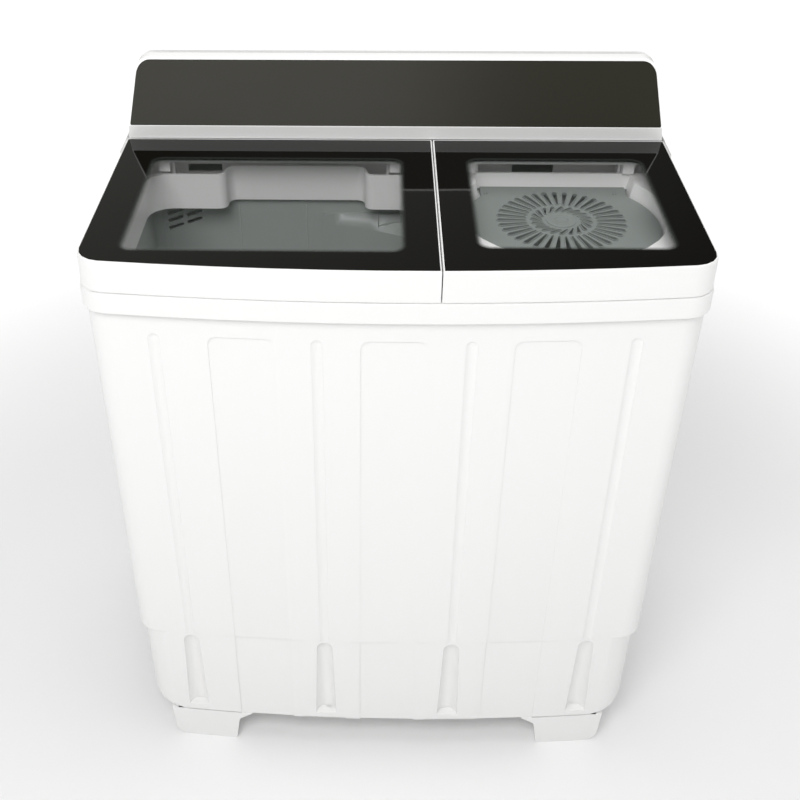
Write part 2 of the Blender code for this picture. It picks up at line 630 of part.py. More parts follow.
def leaning_slab(outer, inner):
    """A slab along the fascia's face, between two depths behind it, as (y, z) points."""
    normal = Vector((-math.cos(FASCIA_LEAN), math.sin(FASCIA_LEAN)))
    along = Vector((math.sin(FASCIA_LEAN), math.cos(FASCIA_LEAN)))
    foot_point = Vector((0.1610, STRIP_TOP))
    ends = (foot_point - along * 0.03, foot_point + along * 0.16)
    return [tuple(ends[0] - normal * outer), tuple(ends[0] - normal * inner),
            tuple(ends[1] - normal * inner), tuple(ends[1] - normal * outer)]


def control_housing():
    made = prism("control_housing", panel_face(0.0, HOUSING_BOTTOM), 0.10, 0.2428, WHITE, "Y")
    common(made, prism("housing_side", panel_side(0.0, 0.2428, HOUSING_BOTTOM), -0.42, 0.42, WHITE, "X"))
    room = prism("housing_room", panel_face(0.0070, HOUSING_BOTTOM + WALL), 0.10, 0.26, WHITE, "Y")
    common(room, prism("housing_room_side", panel_side(0.0070, 0.30, HOUSING_BOTTOM + WALL), -0.42, 0.42, WHITE, "X"))
    recess = prism("fascia_recess", fascia_face(0.0), 0.10, 0.26, WHITE, "Y")
    common(recess, prism("fascia_recess_side", leaning_slab(-0.01, 0.0033), -0.42, 0.42, WHITE, "X"))
    return cut(made, room, recess)


def fascia_face(inset):
    low = STRIP_TOP + 0.0005 + inset
    foot_half = 0.3965 - inset
    top_half = 0.3842 - inset
    top = HOUSING_TOP - 0.0040 - inset
    return filleted([(-foot_half, low, 0.002), (foot_half, low, 0.002),
                     (top_half, top, 0.021), (-top_half, top, 0.021)], 8)


def control_fascia():
    made = prism("control_fascia", fascia_face(GAP), 0.10, 0.26, FASCIA, "Y")
    return common(made, prism("fascia_side", leaning_slab(0.0002, 0.0030), -0.42, 0.42, FASCIA, "X"))


def control_back_cover():
    made = prism("control_back_cover", panel_face(0.0012, HOUSING_BOTTOM + 0.0012), 0.2428 + GAP, BACK, WHITE, "Y")
    return cut(made, block("inlet_notch", VALVE_X - 0.046, VALVE_X + 0.046, 0.23, 0.26, 0.9200, 0.9590, WHITE, 0.004, "Y"))


def control_board():
    made = prism("control_board", filleted(rectangle(-0.110, 0.110, 0.950, 1.000, 0.003), 3), 0.10, 0.26, BOARD, "Y")
    return common(made, prism("board_side", leaning_slab(0.0120, 0.0136), -0.42, 0.42, BOARD, "X"))


def spout(name, x0, x1, z0, z1):
    made = block(name, x0, x1, TROUGH_BACK + WALL + GAP, 0.2200, z0, z1, BLACK)
    return cut(made, block(name + "_bore", x0 + 0.003, x1 - 0.003, 0.10, 0.2150, z0 + 0.003, z1 - 0.003))


def inlet_valve():
    """A double water valve: a body between the two solenoids, with its hose tails to the rear."""
    made = block("inlet_valve", VALVE_X - 0.045, VALVE_X + 0.045, 0.1900, 0.2150, 0.9260, 0.9560, BLACK, 0.004)
    for side in (-1, 1):
        x = VALVE_X + side * 0.024
        tail = [(0.0, 0.2073), (0.0132, 0.2073), (0.0132, 0.2452), (0.0, 0.2452)]
        join(made, turned(f"valve_tail_{side}", tail, x, 0.9400, BLACK, 20, "Y"))
        join(made, block(f"valve_coil_{side}", x - 0.011, x + 0.011, 0.1930, 0.2120, 0.9552, 0.9740, BLACK, 0.002))
        bore = [(0.0, 0.2200), (0.0080, 0.2200), (0.0080, 0.2500), (0.0, 0.2500)]
        cut(made, turned(f"valve_bore_{side}", bore, x, 0.9400, BLACK, 20, "Y"))
    return made


# --- Wash side ------------------------------------------------------------------------------


def tub_corners(by, narrow=0.0):
    corners = bowed_rectangle(-0.371 + narrow, 0.044 - narrow, -0.2200 + narrow, TUB_BACK - narrow, 0.040, 0.020)
    return grown(corners, by)


def wash_tub():
    made = loft("wash_tub", [
        (TUB_BOTTOM, filleted(tub_corners(WALL, 0.026), 4)),
        (TUB_BOTTOM + 0.022, filleted(tub_corners(WALL, TUB_DRAFT), 4)),
        (TUB_TOP - 0.0032, filleted(tub_corners(WALL), 4)),
        (TUB_TOP - 0.0030, filleted(tub_corners(0.0070), 4)),
        (TUB_TOP, filleted(tub_corners(0.0070), 4)),
    ], GREY_PP)
    inner = loft("wash_tub_inner", [
        (TUB_BOTTOM + WALL, filleted(tub_corners(0.0, 0.026), 4)),
        (TUB_BOTTOM + WALL + 0.022, filleted(tub_corners(0.0, TUB_DRAFT), 4)),
        (TUB_TOP + 0.02, filleted(tub_corners(0.0), 4)),
    ])
    shaft_hole = turned("tub_shaft_hole", [(0.0, 0.36), (0.0150, 0.36), (0.0150, 0.42), (0.0, 0.42)],
                        PULSATOR_X, PULSATOR_Y, steps=20)
    drain = turned("tub_drain_hole", [(0.0, 0.36), (0.0180, 0.36), (0.0180, 0.42), (0.0, 0.42)], DRAIN_X, DRAIN_Y, steps=20)
    cut(made, inner, shaft_hole, drain)
    for column, (x, count, top) in enumerate(((-0.3390, 4, 0.8200), (-0.3090, 3, 0.8180))):
        for row in range(count):
            slot = block(f"overflow_{column}_{row}", -0.0125, 0.0125, -0.02, 0.02, -0.0021, 0.0021)
            slot.data.transform(Matrix.Translation((x, TUB_BACK, top - 0.0125 * row)) @ Matrix.Rotation(-0.35, 4, "Y"))
            cut(made, slot)
    return made


def overflow_duct():
    """A closed channel behind the slots, which takes the overflow down to the drain valve."""
    y0 = TUB_BACK + WALL + GAP
    made = block("overflow_duct", -0.3580, -0.2920, y0, 0.1750, 0.3700, 0.8300, WHITE_PP, 0.004)
    room = block("overflow_room", -0.3555, -0.2945, 0.10, 0.1725, 0.3725, 0.8275)
    tail = block("overflow_tail", -0.3555, -0.2945, 0.155, 0.1725, 0.36, 0.38)
    return cut(made, room, tail)


def channel_plan(back, depth, start=-0.1090, end=0.0200, wall=0.0):
    """The rinse channel's plan: it swells out of the tub's rear wall towards the right."""
    steps = 7
    front = TUB_BACK - TUB_DRAFT - 0.0020
    points = [(end, back), (start, back)]
    for i in range(steps + 1):
        x = start + (end - start) * i / steps
        share = (x + 0.1090) / 0.1290
        points.append((x, front - depth * share * share + wall))
    return points


def channel_body(name, lift=0.0):
    """The channel's outer shape, with a top that slopes down to the front."""
    low, high = TUB_BACK - TUB_DRAFT - 2 * GAP, TUB_BACK - 3 * GAP
    return loft(name, [
        (0.4300, channel_plan(low, 0.0210)),
        (0.4480, channel_plan(low, 0.0350)),
        (0.7860 + lift, channel_plan(high - 0.0003, 0.0350)),
        (0.8080 + lift, channel_plan(high, 0.0030)),
    ], GREY_PP)


def cassette(name, by):
    return block(name, -0.0220 - by, 0.0120 + by, 0.1282 - by, 0.1372 + by, 0.6500 - by * 60, 0.83, WHITE_PP)


def filter_panel():
    """The cover of the rinse channel on the tub's rear wall."""
    made = channel_body("filter_panel")
    room = loft("filter_room", [
        (0.4200, channel_plan(0.16, 0.0210, -0.0700, 0.0175, 0.0025)),
        (0.4480, channel_plan(0.16, 0.0350, -0.0700, 0.0175, 0.0025)),
        (0.7840, channel_plan(0.16, 0.0350, -0.0700, 0.0175, 0.0025)),
        (0.8030, channel_plan(0.16, 0.0060, -0.0700, 0.0175, 0.0035)),
    ])
    return cut(made, room, cassette("filter_socket", 0.0007))


def lint_filter():
    """The filter cassette: a framed net that lifts out of the channel's top."""
    made = common(cassette("lint_filter", 0.0), channel_body("lint_top", 0.0012))
    return cut(made, block("lint_window", -0.0180, 0.0080, 0.1270, 0.1356, 0.6600, 0.7700))


def pulsator():
    """A shallow dished disc with six curved vanes and a domed hub, on the tub's floor."""
    z = TUB_BOTTOM + WALL + 0.0060
    radius = PULSATOR_R
    profile = [(0.0, z), (0.030, z), (0.030, z + 0.004), (radius - 0.006, z + 0.004), (radius, z),
               (radius + 0.002, z + 0.008), (radius - 0.004, z + 0.012), (radius * 0.6, z + 0.009),
               (0.046, z + 0.011), (0.038, z + 0.030), (0.022, z + 0.038), (0.0, z + 0.038)]
    made = turned("pulsator", profile, PULSATOR_X, PULSATOR_Y, WHITE_PP, 28)
    vanes = 5
    for i in range(vanes):
        bm = bmesh.new()
        sides = [[], []]
        steps = 3
        for step in range(steps + 1):
            share = step / steps
            reach = 0.034 + share * (radius - 0.046)
            turn = 2 * math.pi * i / vanes + share * 0.55
            out = Vector((math.cos(turn), math.sin(turn), 0))
            across = Vector((-out.y, out.x, 0))
            height = z + 0.030 - share * 0.012
            for side, sign in zip(sides, (-1, 1)):
                foot_point = out * reach + across * sign * 0.0095
                top_point = out * reach + across * sign * 0.0035
                side.append((bm.verts.new((foot_point.x, foot_point.y, z + 0.0055)),
                             bm.verts.new((top_point.x, top_point.y, height))))
        for step in range(steps):
            (a0, a1), (b0, b1) = sides[0][step], sides[0][step + 1]
            (c0, c1), (d0, d1) = sides[1][step], sides[1][step + 1]
            for face in ((a0, b0, b1, a1), (c0, c1, d1, d0), (a1, b1, d1, c1), (a0, c0, d0, b0)):
                bm.faces.new(face)
        for step in (0, steps):
            (a0, a1), (c0, c1) = sides[0][step], sides[1][step]
            bm.faces.new((a0, a1, c1, c0))
        bm.transform(Matrix.Translation((PULSATOR_X, PULSATOR_Y, 0)))
        join(made, finish(bm, f"vane_{i}", WHITE_PP))
    bore = turned("pulsator_bore", [(0.0, 0.30), (0.0063, 0.30), (0.0063, 0.60), (0.0, 0.60)],
                  PULSATOR_X, PULSATOR_Y, steps=16)
    recess = turned("pulsator_recess", [(0.0, z + 0.0330), (0.0120, z + 0.0330), (0.0120, 0.60), (0.0, 0.60)],
                    PULSATOR_X, PULSATOR_Y, steps=24)
    cut(made, bore, recess)
    return hinged_at(made, PULSATOR_X, PULSATOR_Y, z)


def pulsator_shaft():
    """The gearbox's output shaft, up through the tub's floor to the pulsator."""
    top = TUB_BOTTOM + WALL + 0.0060 + 0.0325
    return turned("pulsator_shaft", [(0.0, GEARBOX_TOP + 0.0005), (0.0060, GEARBOX_TOP + 0.0005), (0.0060, top - 0.004),
                                     (0.0060, top), (0.0, top)], PULSATOR_X, PULSATOR_Y, STEEL, 16)


def pulsator_screw():
    top = TUB_BOTTOM + WALL + 0.0060 + 0.0332
    made = turned("pulsator_screw", [(0.0, top), (0.0100, top), (0.0100, top + 0.0030), (0.0070, top + 0.0048), (0.0, top + 0.0048)],
                  PULSATOR_X, PULSATOR_Y, STEEL, 20)
    return cut(made, block("pulsator_screw_slot", PULSATOR_X - 0.006, PULSATOR_X + 0.006,
                           PULSATOR_Y - 0.0006, PULSATOR_Y + 0.0006, top + 0.0030, top + 0.02))


def gearbox():
    """The reduction gearbox under the tub, held by its flange."""
    return turned("gearbox", [
        (0.0, GEARBOX_TOP - 0.1055), (0.0180, GEARBOX_TOP - 0.1055), (0.0180, GEARBOX_TOP - 0.0740),
        (0.0480, GEARBOX_TOP - 0.0740), (0.0500, GEARBOX_TOP - 0.0720), (0.0500, GEARBOX_TOP - 0.0100),
        (0.0640, GEARBOX_TOP - 0.0100), (0.0640, GEARBOX_TOP - 0.0040), (0.0300, GEARBOX_TOP - 0.0040),
        (0.0200, GEARBOX_TOP), (0.0, GEARBOX_TOP)], PULSATOR_X, PULSATOR_Y, ALUMINIUM, 18)


def pulley(name, x, y, radius, hub, low, look):
    """A V pulley with a web and a hub, its groove at the belt's height."""
    profile = [
        (0.0, low), (hub, low), (hub, BELT_Z - 0.0080), (radius + 0.0030, BELT_Z - 0.0080),
        (radius + 0.0030, BELT_Z - 0.0060), (radius - 0.0045, BELT_Z), (radius + 0.0030, BELT_Z + 0.0060),
        (radius + 0.0030, BELT_Z + 0.0080), (hub, BELT_Z + 0.0080), (hub, BELT_Z + 0.0140), (0.0, BELT_Z + 0.0140)]
    made = turned(name, profile, x, y, look, 20)
    return hinged_at(made, x, y, BELT_Z)


def drive_belt():
    """The V belt round both pulleys, clear of their grooves."""
    big = Vector((PULSATOR_X, PULSATOR_Y))
    small = Vector((MOTOR_X, MOTOR_Y))
    away = small - big
    lean = math.acos((GEARBOX_PULLEY_R - MOTOR_PULLEY_R) / away.length)
    heading = math.atan2(away.y, away.x)

    def wrap(extra):
        points = []
        for centre, radius, start, sweep, steps in (
            (big, GEARBOX_PULLEY_R, heading + lean, 2 * (math.pi - lean), 15),
            (small, MOTOR_PULLEY_R, heading - lean, 2 * lean, 9),
        ):
            for i in range(steps + 1):
                turn = start + sweep * i / steps
                points.append(tuple(centre + Vector((math.cos(turn), math.sin(turn))) * (radius + extra)))
        return points

    made = loft("drive_belt", [(BELT_Z - 0.0035, wrap(0.0060)), (BELT_Z + 0.0035, wrap(0.0060))], RUBBER)
    return cut(made, loft("belt_inside", [(BELT_Z - 0.02, wrap(0.0034)), (BELT_Z + 0.02, wrap(0.0034))]))


def wash_motor():
    """The wash motor: a lamination stack between two cast end caps, with its shaft downwards."""
    low = BELT_Z + 0.0180
    made = turned("wash_motor", [
        (0.0, low), (0.0160, low), (0.0160, low + 0.006), (0.0500, low + 0.010), (0.0500, low + 0.030),
        (0.0560, low + 0.030), (0.0560, low + 0.062), (0.0500, low + 0.062), (0.0500, low + 0.080),
        (0.0200, low + 0.088), (0.0, low + 0.088)], MOTOR_X, MOTOR_Y, ALUMINIUM, 16)
    bore = turned("wash_motor_bore", [(0.0, low - 0.01), (0.0068, low - 0.01), (0.0068, low + 0.040), (0.0, low + 0.040)],
                  MOTOR_X, MOTOR_Y, steps=16)
    return cut(made, bore)


def wash_motor_shaft():
    low = BELT_Z + 0.0145
    return turned("wash_motor_shaft", [(0.0, low), (0.0060, low), (0.0060, low + 0.040), (0.0, low + 0.040)],
                  MOTOR_X, MOTOR_Y, STEEL, 16)


def drive_bracket():
    """The pressed steel plate under the tub that carries the gearbox and the motor."""
    z = GEARBOX_TOP - 0.0100 - GAP
    outline = filleted([(-0.253, -0.110, 0.02), (-0.083, -0.110, 0.02), (0.044, 0.045, 0.02), (0.044, 0.185, 0.02),
                        (-0.093, 0.185, 0.02), (-0.253, 0.060, 0.02)], 4)
    made = prism("drive_bracket", outline, z - 0.003, z, STEEL)
    gear_hole = turned("bracket_gear_hole", [(0.0, 0.30), (0.0520, 0.30), (0.0520, 0.40), (0.0, 0.40)],
                       PULSATOR_X, PULSATOR_Y, steps=28)
    return cut(made, gear_hole)


# --- Spin side ------------------------------------------------------------------------------


def cup(name, radius, bottom, top, look, floor, wall, hole, rim=0.0, steps=28):
    """A round cup with a hole in its floor and, if asked, a rim turned outwards."""
    profile = [(hole, bottom), (radius - 0.012, bottom), (radius, bottom + 0.012), (radius, top - 0.003)]
    if rim:
        profile += [(radius + rim, top - 0.003), (radius + rim, top)]
    else:
        profile += [(radius, top)]
    profile += [(radius - wall, top), (radius - wall, bottom + floor + 0.009),
                (radius - wall - 0.009, bottom + floor), (hole, bottom + floor)]
    return turned(name, profile, SPIN_X, SPIN_Y, look, steps)


def spin_tub():
    made = cup("spin_tub", SPIN_TUB_R, SPIN_TUB_BOTTOM, SPIN_TUB_TOP, WHITE_PP, WALL, WALL, 0.0420, 0.0060)
    drain = turned("spin_drain_hole", [(0.0, 0.38), (0.0120, 0.38), (0.0120, 0.42), (0.0, 0.42)], 0.175, 0.100, steps=16)
    return cut(made, drain)


def spin_basket():
    """The spinner's basket, with rows of drain holes and a balance ring round its mouth."""
    profile = [
        (0.0090, BASKET_BOTTOM), (BASKET_R - 0.020, BASKET_BOTTOM), (BASKET_R - 0.003, BASKET_BOTTOM + 0.016),
        (BASKET_R, BASKET_TOP - 0.045), (BASKET_R + 0.003, BASKET_TOP - 0.042), (BASKET_R + 0.003, BASKET_TOP - 0.004),
        (BASKET_R, BASKET_TOP), (BASKET_R - 0.018, BASKET_TOP), (BASKET_R - 0.020, BASKET_TOP - 0.004),
        (BASKET_R - 0.020, BASKET_TOP - 0.040), (BASKET_R - 0.0030, BASKET_TOP - 0.048),
        (BASKET_R - 0.0060, BASKET_BOTTOM + 0.018), (BASKET_R - 0.021, BASKET_BOTTOM + 0.003),
        (0.030, BASKET_BOTTOM + 0.003), (0.026, BASKET_BOTTOM + 0.030), (0.0090, BASKET_BOTTOM + 0.034)]
    made = turned("spin_basket", profile, SPIN_X, SPIN_Y, WHITE_PP, 24)
    for row in range(3):
        for i in range(3):
            turn = Matrix.Rotation(math.pi * (i + 0.5 * (row % 2)) / 3 + 0.13, 4, "Z")
            hole = block(f"basket_hole_{row}_{i}", -0.14, 0.14, -0.0030, 0.0030, -0.0030, 0.0030)
            hole.data.transform(Matrix.Translation((SPIN_X, SPIN_Y, BASKET_BOTTOM + 0.09 + 0.10 * row)) @ turn)
            cut(made, hole)
    return hinged_at(made, SPIN_X, SPIN_Y, BASKET_BOTTOM)


def spin_shaft():
    low = 0.2860
    made = turned("spin_shaft", [(0.0, low), (0.0080, low), (0.0080, BASKET_BOTTOM + 0.034), (0.0115, BASKET_BOTTOM + 0.0345),
                                 (0.0115, BASKET_BOTTOM + 0.0420), (0.0, BASKET_BOTTOM + 0.0420)],
                  SPIN_X, SPIN_Y, STEEL, 20)
    return made


def spin_bellows():
    """The rubber bellows that seals the shaft's bearing housing into the tub's floor."""
    top = SPIN_TUB_BOTTOM - GAP
    profile = [(0.0330, 0.3400), (0.0400, 0.3400), (0.0400, 0.3480)]
    for fold in range(2):
        z = 0.3480 + 0.0210 * fold
        profile += [(0.0480, z + 0.0070), (0.0400, z + 0.0160)]
    profile += [(0.0560, top - 0.0030), (0.0560, top), (0.0390, top), (0.0370, top - 0.0060)]
    for fold in reversed(range(2)):
        z = 0.3480 + 0.0210 * fold
        profile += [(0.0450, z + 0.0070), (0.0370, z - 0.0010)]
    profile += [(0.0330, 0.3440)]
    return turned("spin_bellows", profile, SPIN_X, SPIN_Y, RUBBER, 16)


def spin_bearing_housing():
    return turned("spin_bearing_housing", [
        (0.0083, 0.3300), (0.0400, 0.3300), (0.0400, 0.3390), (0.0320, 0.3390), (0.0320, 0.3480),
        (0.0240, 0.3520), (0.0220, 0.4100), (0.0120, 0.4140), (0.0083, 0.4140)], SPIN_X, SPIN_Y, ALUMINIUM, 16)


def brake_drum():
    """The coupling between motor and spinner, with the brake's rim round it."""
    made = turned("brake_drum", [
        (0.0, 0.2480), (0.0200, 0.2480), (0.0200, 0.2540), (0.0500, 0.2540), (0.0520, 0.2560), (0.0520, 0.2760),
        (0.0500, 0.2780), (0.0480, 0.2780), (0.0480, 0.2600), (0.0200, 0.2600), (0.0200, 0.2857), (0.0, 0.2857)],
                  SPIN_X, SPIN_Y, ALUMINIUM, 20)
    return hinged_at(made, SPIN_X, SPIN_Y, 0.2480)


def brake_lever():
    """The brake arm: it pivots on the spin motor's bracket and presses its shoe on the drum."""
    px, py = BRAKE_PIVOT
    outline = filleted([(px - 0.010, py - 0.010, 0.0095), (px + 0.010, py - 0.010, 0.0095),
                        (px + 0.010, py + 0.095, 0.004), (px - 0.004, py + 0.095, 0.003), (px - 0.010, py + 0.060, 0.004)], 4)
    made = prism("brake_lever", outline, 0.2640, 0.2680, STEEL)
    shoe = block("brake_shoe", SPIN_X + 0.0546, px - 0.002, SPIN_Y - 0.012, SPIN_Y + 0.012, 0.2600, 0.2720, RUBBER, 0.002)
    bore = turned("brake_bore", [(0.0, 0.25), (0.0044, 0.25), (0.0044, 0.29), (0.0, 0.29)], px, py, steps=16)
    join(made, shoe)
    cut(made, bore)
    return hinged_at(made, px, py, 0.2640)


BRAKE_PIVOT = (0.3080, -0.0700)


def spin_motor():
    """The spin motor under the drum, with a top bracket plate that stands on the springs."""
    made = turned("spin_motor", [
        (0.0, 0.1120), (0.0500, 0.1120), (0.0520, 0.1150), (0.0520, 0.1400), (0.0600, 0.1400), (0.0600, 0.1950),
        (0.0520, 0.1950), (0.0520, 0.2220), (0.0300, 0.2320), (0.0, 0.2320)], SPIN_X, SPIN_Y, ALUMINIUM, 16)
    plate = turned("spin_motor_plate", [(0.0, 0.2280), (0.0950, 0.2280), (0.0950, 0.2325), (0.0, 0.2325)],
                   SPIN_X, SPIN_Y, STEEL, 20)
    post = turned("brake_post", [(0.0, 0.2300), (0.0080, 0.2300), (0.0080, 0.2630), (0.0040, 0.2630), (0.0040, 0.2720), (0.0, 0.2720)],
                  *BRAKE_PIVOT, STEEL, 16)
    join(made, plate, post)
    bore = turned("spin_motor_bore", [(0.0, 0.20), (0.0073, 0.20), (0.0073, 0.25), (0.0, 0.25)], SPIN_X, SPIN_Y, steps=16)
    return cut(made, bore)


def spin_motor_shaft():
    return turned("spin_motor_shaft", [(0.0, 0.2010), (0.0070, 0.2010), (0.0070, 0.2477), (0.0, 0.2477)],
                  SPIN_X, SPIN_Y, STEEL, 16)


def motor_mount(name, turn):
    """A spring and its rubber core between the base's floor and the motor's plate."""
    x = SPIN_X + 0.0800 * math.cos(turn)
    y = SPIN_Y + 0.0800 * math.sin(turn)
    low, high = 0.0695 + GAP, 0.2280 - GAP
    profile = [(0.0, low), (0.0150, low), (0.0150, low + 0.004)]
    folds = 4
    for i in range(folds):
        z = low + 0.006 + (high - low - 0.012) * i / folds
        profile += [(0.0110, z), (0.0140, z + 0.018)]
    profile += [(0.0150, high - 0.004), (0.0150, high), (0.0, high)]
    return turned(name, profile, x, y, STEEL, 10)


# --- Water and wiring ----------------------------------------------------------------------------


def drain_valve():
    """The drain valve under the wash tub: a pot with its seat, and a branch for the outlet."""
    x, y = DRAIN_X, DRAIN_Y
    made = turned("drain_valve", [
        (0.0, 0.2900), (0.0220, 0.2900), (0.0220, 0.3600), (0.0230, 0.3827 - GAP), (0.0190, 0.3827 - GAP),
        (0.0190, 0.2930), (0.0, 0.2930)], x, y, WHITE_PP, 16)
    return made


def drain_plunger():
    """The valve's rubber plunger, which lifts off its seat to drain the tub."""
    x, y = DRAIN_X, DRAIN_Y
    made = turned("drain_plunger", [
        (0.0, 0.2940), (0.0150, 0.2940), (0.0170, 0.2980), (0.0120, 0.3060), (0.0040, 0.3080), (0.0040, 0.3500), (0.0, 0.3500)],
                  x, y, RUBBER, 20)
    return hinged_at(made, x, y, 0.2940)


def tube(name, points, radius, look):
    """A hose along a smooth curve through a few points."""
    curve = bpy.data.curves.new(name, "CURVE")
    curve.dimensions = "3D"
    curve.bevel_depth = radius
    curve.bevel_resolution = 2
    curve.use_fill_caps = True
    line = curve.splines.new("POLY")
    fine = []
    for i in range(len(points) - 1):
        a = Vector(points[max(i - 1, 0)])
        b = Vector(points[i])
        c = Vector(points[i + 1])
        d = Vector(points[min(i + 2, len(points) - 1)])
        for step in range(5):
            t = step / 5
            fine.append(0.5 * (2 * b + (c - a) * t + (2 * a - 5 * b + 4 * c - d) * t * t + (3 * b - a - 3 * c + d) * t ** 3))
    fine.append(Vector(points[-1]))
    line.points.add(len(fine) - 1)
    for point, place in zip(line.points, fine):
        point.co = (*place, 1.0)
    curve.materials.append(look)
    made = bpy.data.objects.new(name, curve)
    bpy.context.scene.collection.objects.link(made)
    return made


def drain_outlet():
    """The drain port in the base's back wall, where the drain hose goes on."""
    profile = [(0.0120, 0.2250), (0.0145, 0.2250), (0.0145, 0.2404), (0.0220, 0.2404), (0.0220, 0.2420),
               (0.0150, 0.2424), (0.0150, 0.2453), (0.0120, 0.2453)]
    return turned("drain_outlet", profile, *DRAIN_PORT, WHITE_PP, 20, "Y")


def cord_gland():
    profile = [(0.0045, 0.2300), (0.0085, 0.2300), (0.0085, 0.2400), (0.0105, 0.2400), (0.0105, 0.2454), (0.0045, 0.2454)]
    return turned("cord_gland", profile, 0.300, 0.330, RUBBER, 20, "Y")


def capacitor():
    return turned("capacitor", [(0.0, 0.4400), (0.0200, 0.4400), (0.0200, 0.5180), (0.0180, 0.5200), (0.0060, 0.5200),
                                (0.0060, 0.5260), (0.0, 0.5260)], 0.0640, 0.1900, WHITE_PP, 16)


def lid_switch():
    """The switch that stops the spinner when its lid is lifted."""
    made = block("lid_switch", 0.3560, 0.3860, 0.1900, 0.2100, 0.8600, 0.8800, BLACK, 0.002)
    return made


# --- The machine ----------------------------------------------------------------------------------

base()
for side_name, side in (("left", -1), ("right", 1)):
    foot(f"foot_front_{side_name}", side, -1)
    foot(f"foot_rear_{side_name}", side, 1)
cabinet()
rear_cover()
for number, (x, z) in enumerate(COVER_SCREWS):
    screw(f"rear_cover_screw_{number + 1}", x, CABINET_BACK - 0.0046, z)
top_cover()
lid_frame("wash_lid_frame", -1, WASH_WINDOW, WASH_LUGS)
lid_glass("wash_lid_glass", -1)
lid_frame("spin_lid_frame", 1, SPIN_WINDOW, SPIN_LUGS)
lid_glass("spin_lid_glass", 1)
for lid_name, places in (("wash", WASH_LUGS), ("spin", SPIN_LUGS)):
    for hand, x in zip(("left", "right"), places):
        hinge_pin(f"{lid_name}_hinge_pin_{hand}", x)
inner_lid()
control_housing()
control_fascia()
control_back_cover()
control_board()
spout("wash_spout", -0.3204, -0.2617, 0.8570, 0.8750)
spout("spin_spout", 0.1790, 0.2480, 0.8570, 0.8770)
inlet_valve()
wash_tub()
overflow_duct()
filter_panel()
lint_filter()
pulsator()
pulsator_shaft()
pulsator_screw()
gearbox()
pulley("gearbox_pulley", PULSATOR_X, PULSATOR_Y, GEARBOX_PULLEY_R, 0.0140, BELT_Z - 0.0140, ALUMINIUM)
pulley("motor_pulley", MOTOR_X, MOTOR_Y, MOTOR_PULLEY_R, 0.0100, BELT_Z - 0.0120, ALUMINIUM)
drive_belt()
wash_motor()
wash_motor_shaft()
drive_bracket()
spin_tub()
spin_basket()
spin_shaft()
spin_bellows()
spin_bearing_housing()
brake_drum()
brake_lever()
spin_motor()
spin_motor_shaft()
for number in range(3):
    motor_mount(f"spin_motor_mount_{number + 1}", math.radians(90 + 120 * number))
drain_valve()
drain_plunger()
drain_outlet()
cord_gland()
capacitor()
lid_switch()
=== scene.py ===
# %% [markdown]
# # A twin tub washer
# The machine is a row of white moulded shells with two black glass lids on top. Its shapes and
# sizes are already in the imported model, so this lesson finishes it: smooth shells, real
# materials, the fine grille of the spinner's safety lid, fittings, light and a camera.

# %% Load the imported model
import json
import math

import bpy
from mathutils import Matrix, Vector


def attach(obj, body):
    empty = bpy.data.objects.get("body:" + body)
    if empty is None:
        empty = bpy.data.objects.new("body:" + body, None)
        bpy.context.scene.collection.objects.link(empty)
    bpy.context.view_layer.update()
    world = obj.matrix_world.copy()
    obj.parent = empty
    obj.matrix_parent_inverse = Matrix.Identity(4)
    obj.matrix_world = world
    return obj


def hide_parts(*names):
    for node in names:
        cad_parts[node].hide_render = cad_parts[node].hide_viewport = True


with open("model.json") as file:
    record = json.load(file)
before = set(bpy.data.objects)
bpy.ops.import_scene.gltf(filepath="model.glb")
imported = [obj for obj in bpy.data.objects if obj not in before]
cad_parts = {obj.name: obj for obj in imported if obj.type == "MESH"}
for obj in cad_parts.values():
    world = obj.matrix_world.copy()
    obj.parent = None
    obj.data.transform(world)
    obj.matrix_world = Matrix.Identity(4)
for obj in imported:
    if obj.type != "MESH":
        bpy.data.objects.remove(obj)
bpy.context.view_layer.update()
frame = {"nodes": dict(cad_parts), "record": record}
MM = 0.001

# %% [markdown]
# ## Camera, light and floor
# The view is from a little above the lids and slightly to the left, as someone sees the machine
# who is about to load it. A large soft key light hangs high in front, a second one overhead, and
# a weak fill stands on the left. Area lights give soft edges to every reflection, and a bright
# world keeps the white plastic white.

# %% Camera
EYE = (-0.0210, -1.4721, 1.6037)            # above the lids and just left of the middle
TURN_DEGREES = (53.692, 0.287, 1.439)       # looks down at the machine's front
camera_data = bpy.data.cameras.new("camera")
camera_data.lens = 51.48
camera_data.sensor_width = 36
camera_data.shift_x = 0.0618
camera_data.shift_y = 0.0202
camera = bpy.data.objects.new("camera", camera_data)
camera.location = EYE
camera.rotation_euler = [math.radians(turn) for turn in TURN_DEGREES]
bpy.context.scene.collection.objects.link(camera)
bpy.context.scene.camera = camera
bpy.context.scene.view_settings.view_transform = "Standard"
print("camera at", tuple(round(v, 3) for v in camera.location))


# %% Lights
MACHINE_MIDDLE = Vector((0, 0, 0.55))


def soft_light(name, place, size, watts):
    """An area light that faces the middle of the machine."""
    data = bpy.data.lights.new(name, "AREA")
    data.shape = "RECTANGLE"
    data.size, data.size_y = size
    data.energy = watts
    made = bpy.data.objects.new(name, data)
    made.location = place
    aim = MACHINE_MIDDLE - Vector(place)
    made.rotation_euler = aim.to_track_quat("-Z", "Y").to_euler()
    bpy.context.scene.collection.objects.link(made)
    print(name, watts, "W")


soft_light("key", (-0.5, -2.1, 3.0), (1.6, 1.2), 44)
soft_light("side_fill", (-3.0, -0.8, 1.2), (1.8, 2.0), 2)
soft_light("top_fill", (0.2, 0.1, 3.0), (2.0, 1.6), 26)

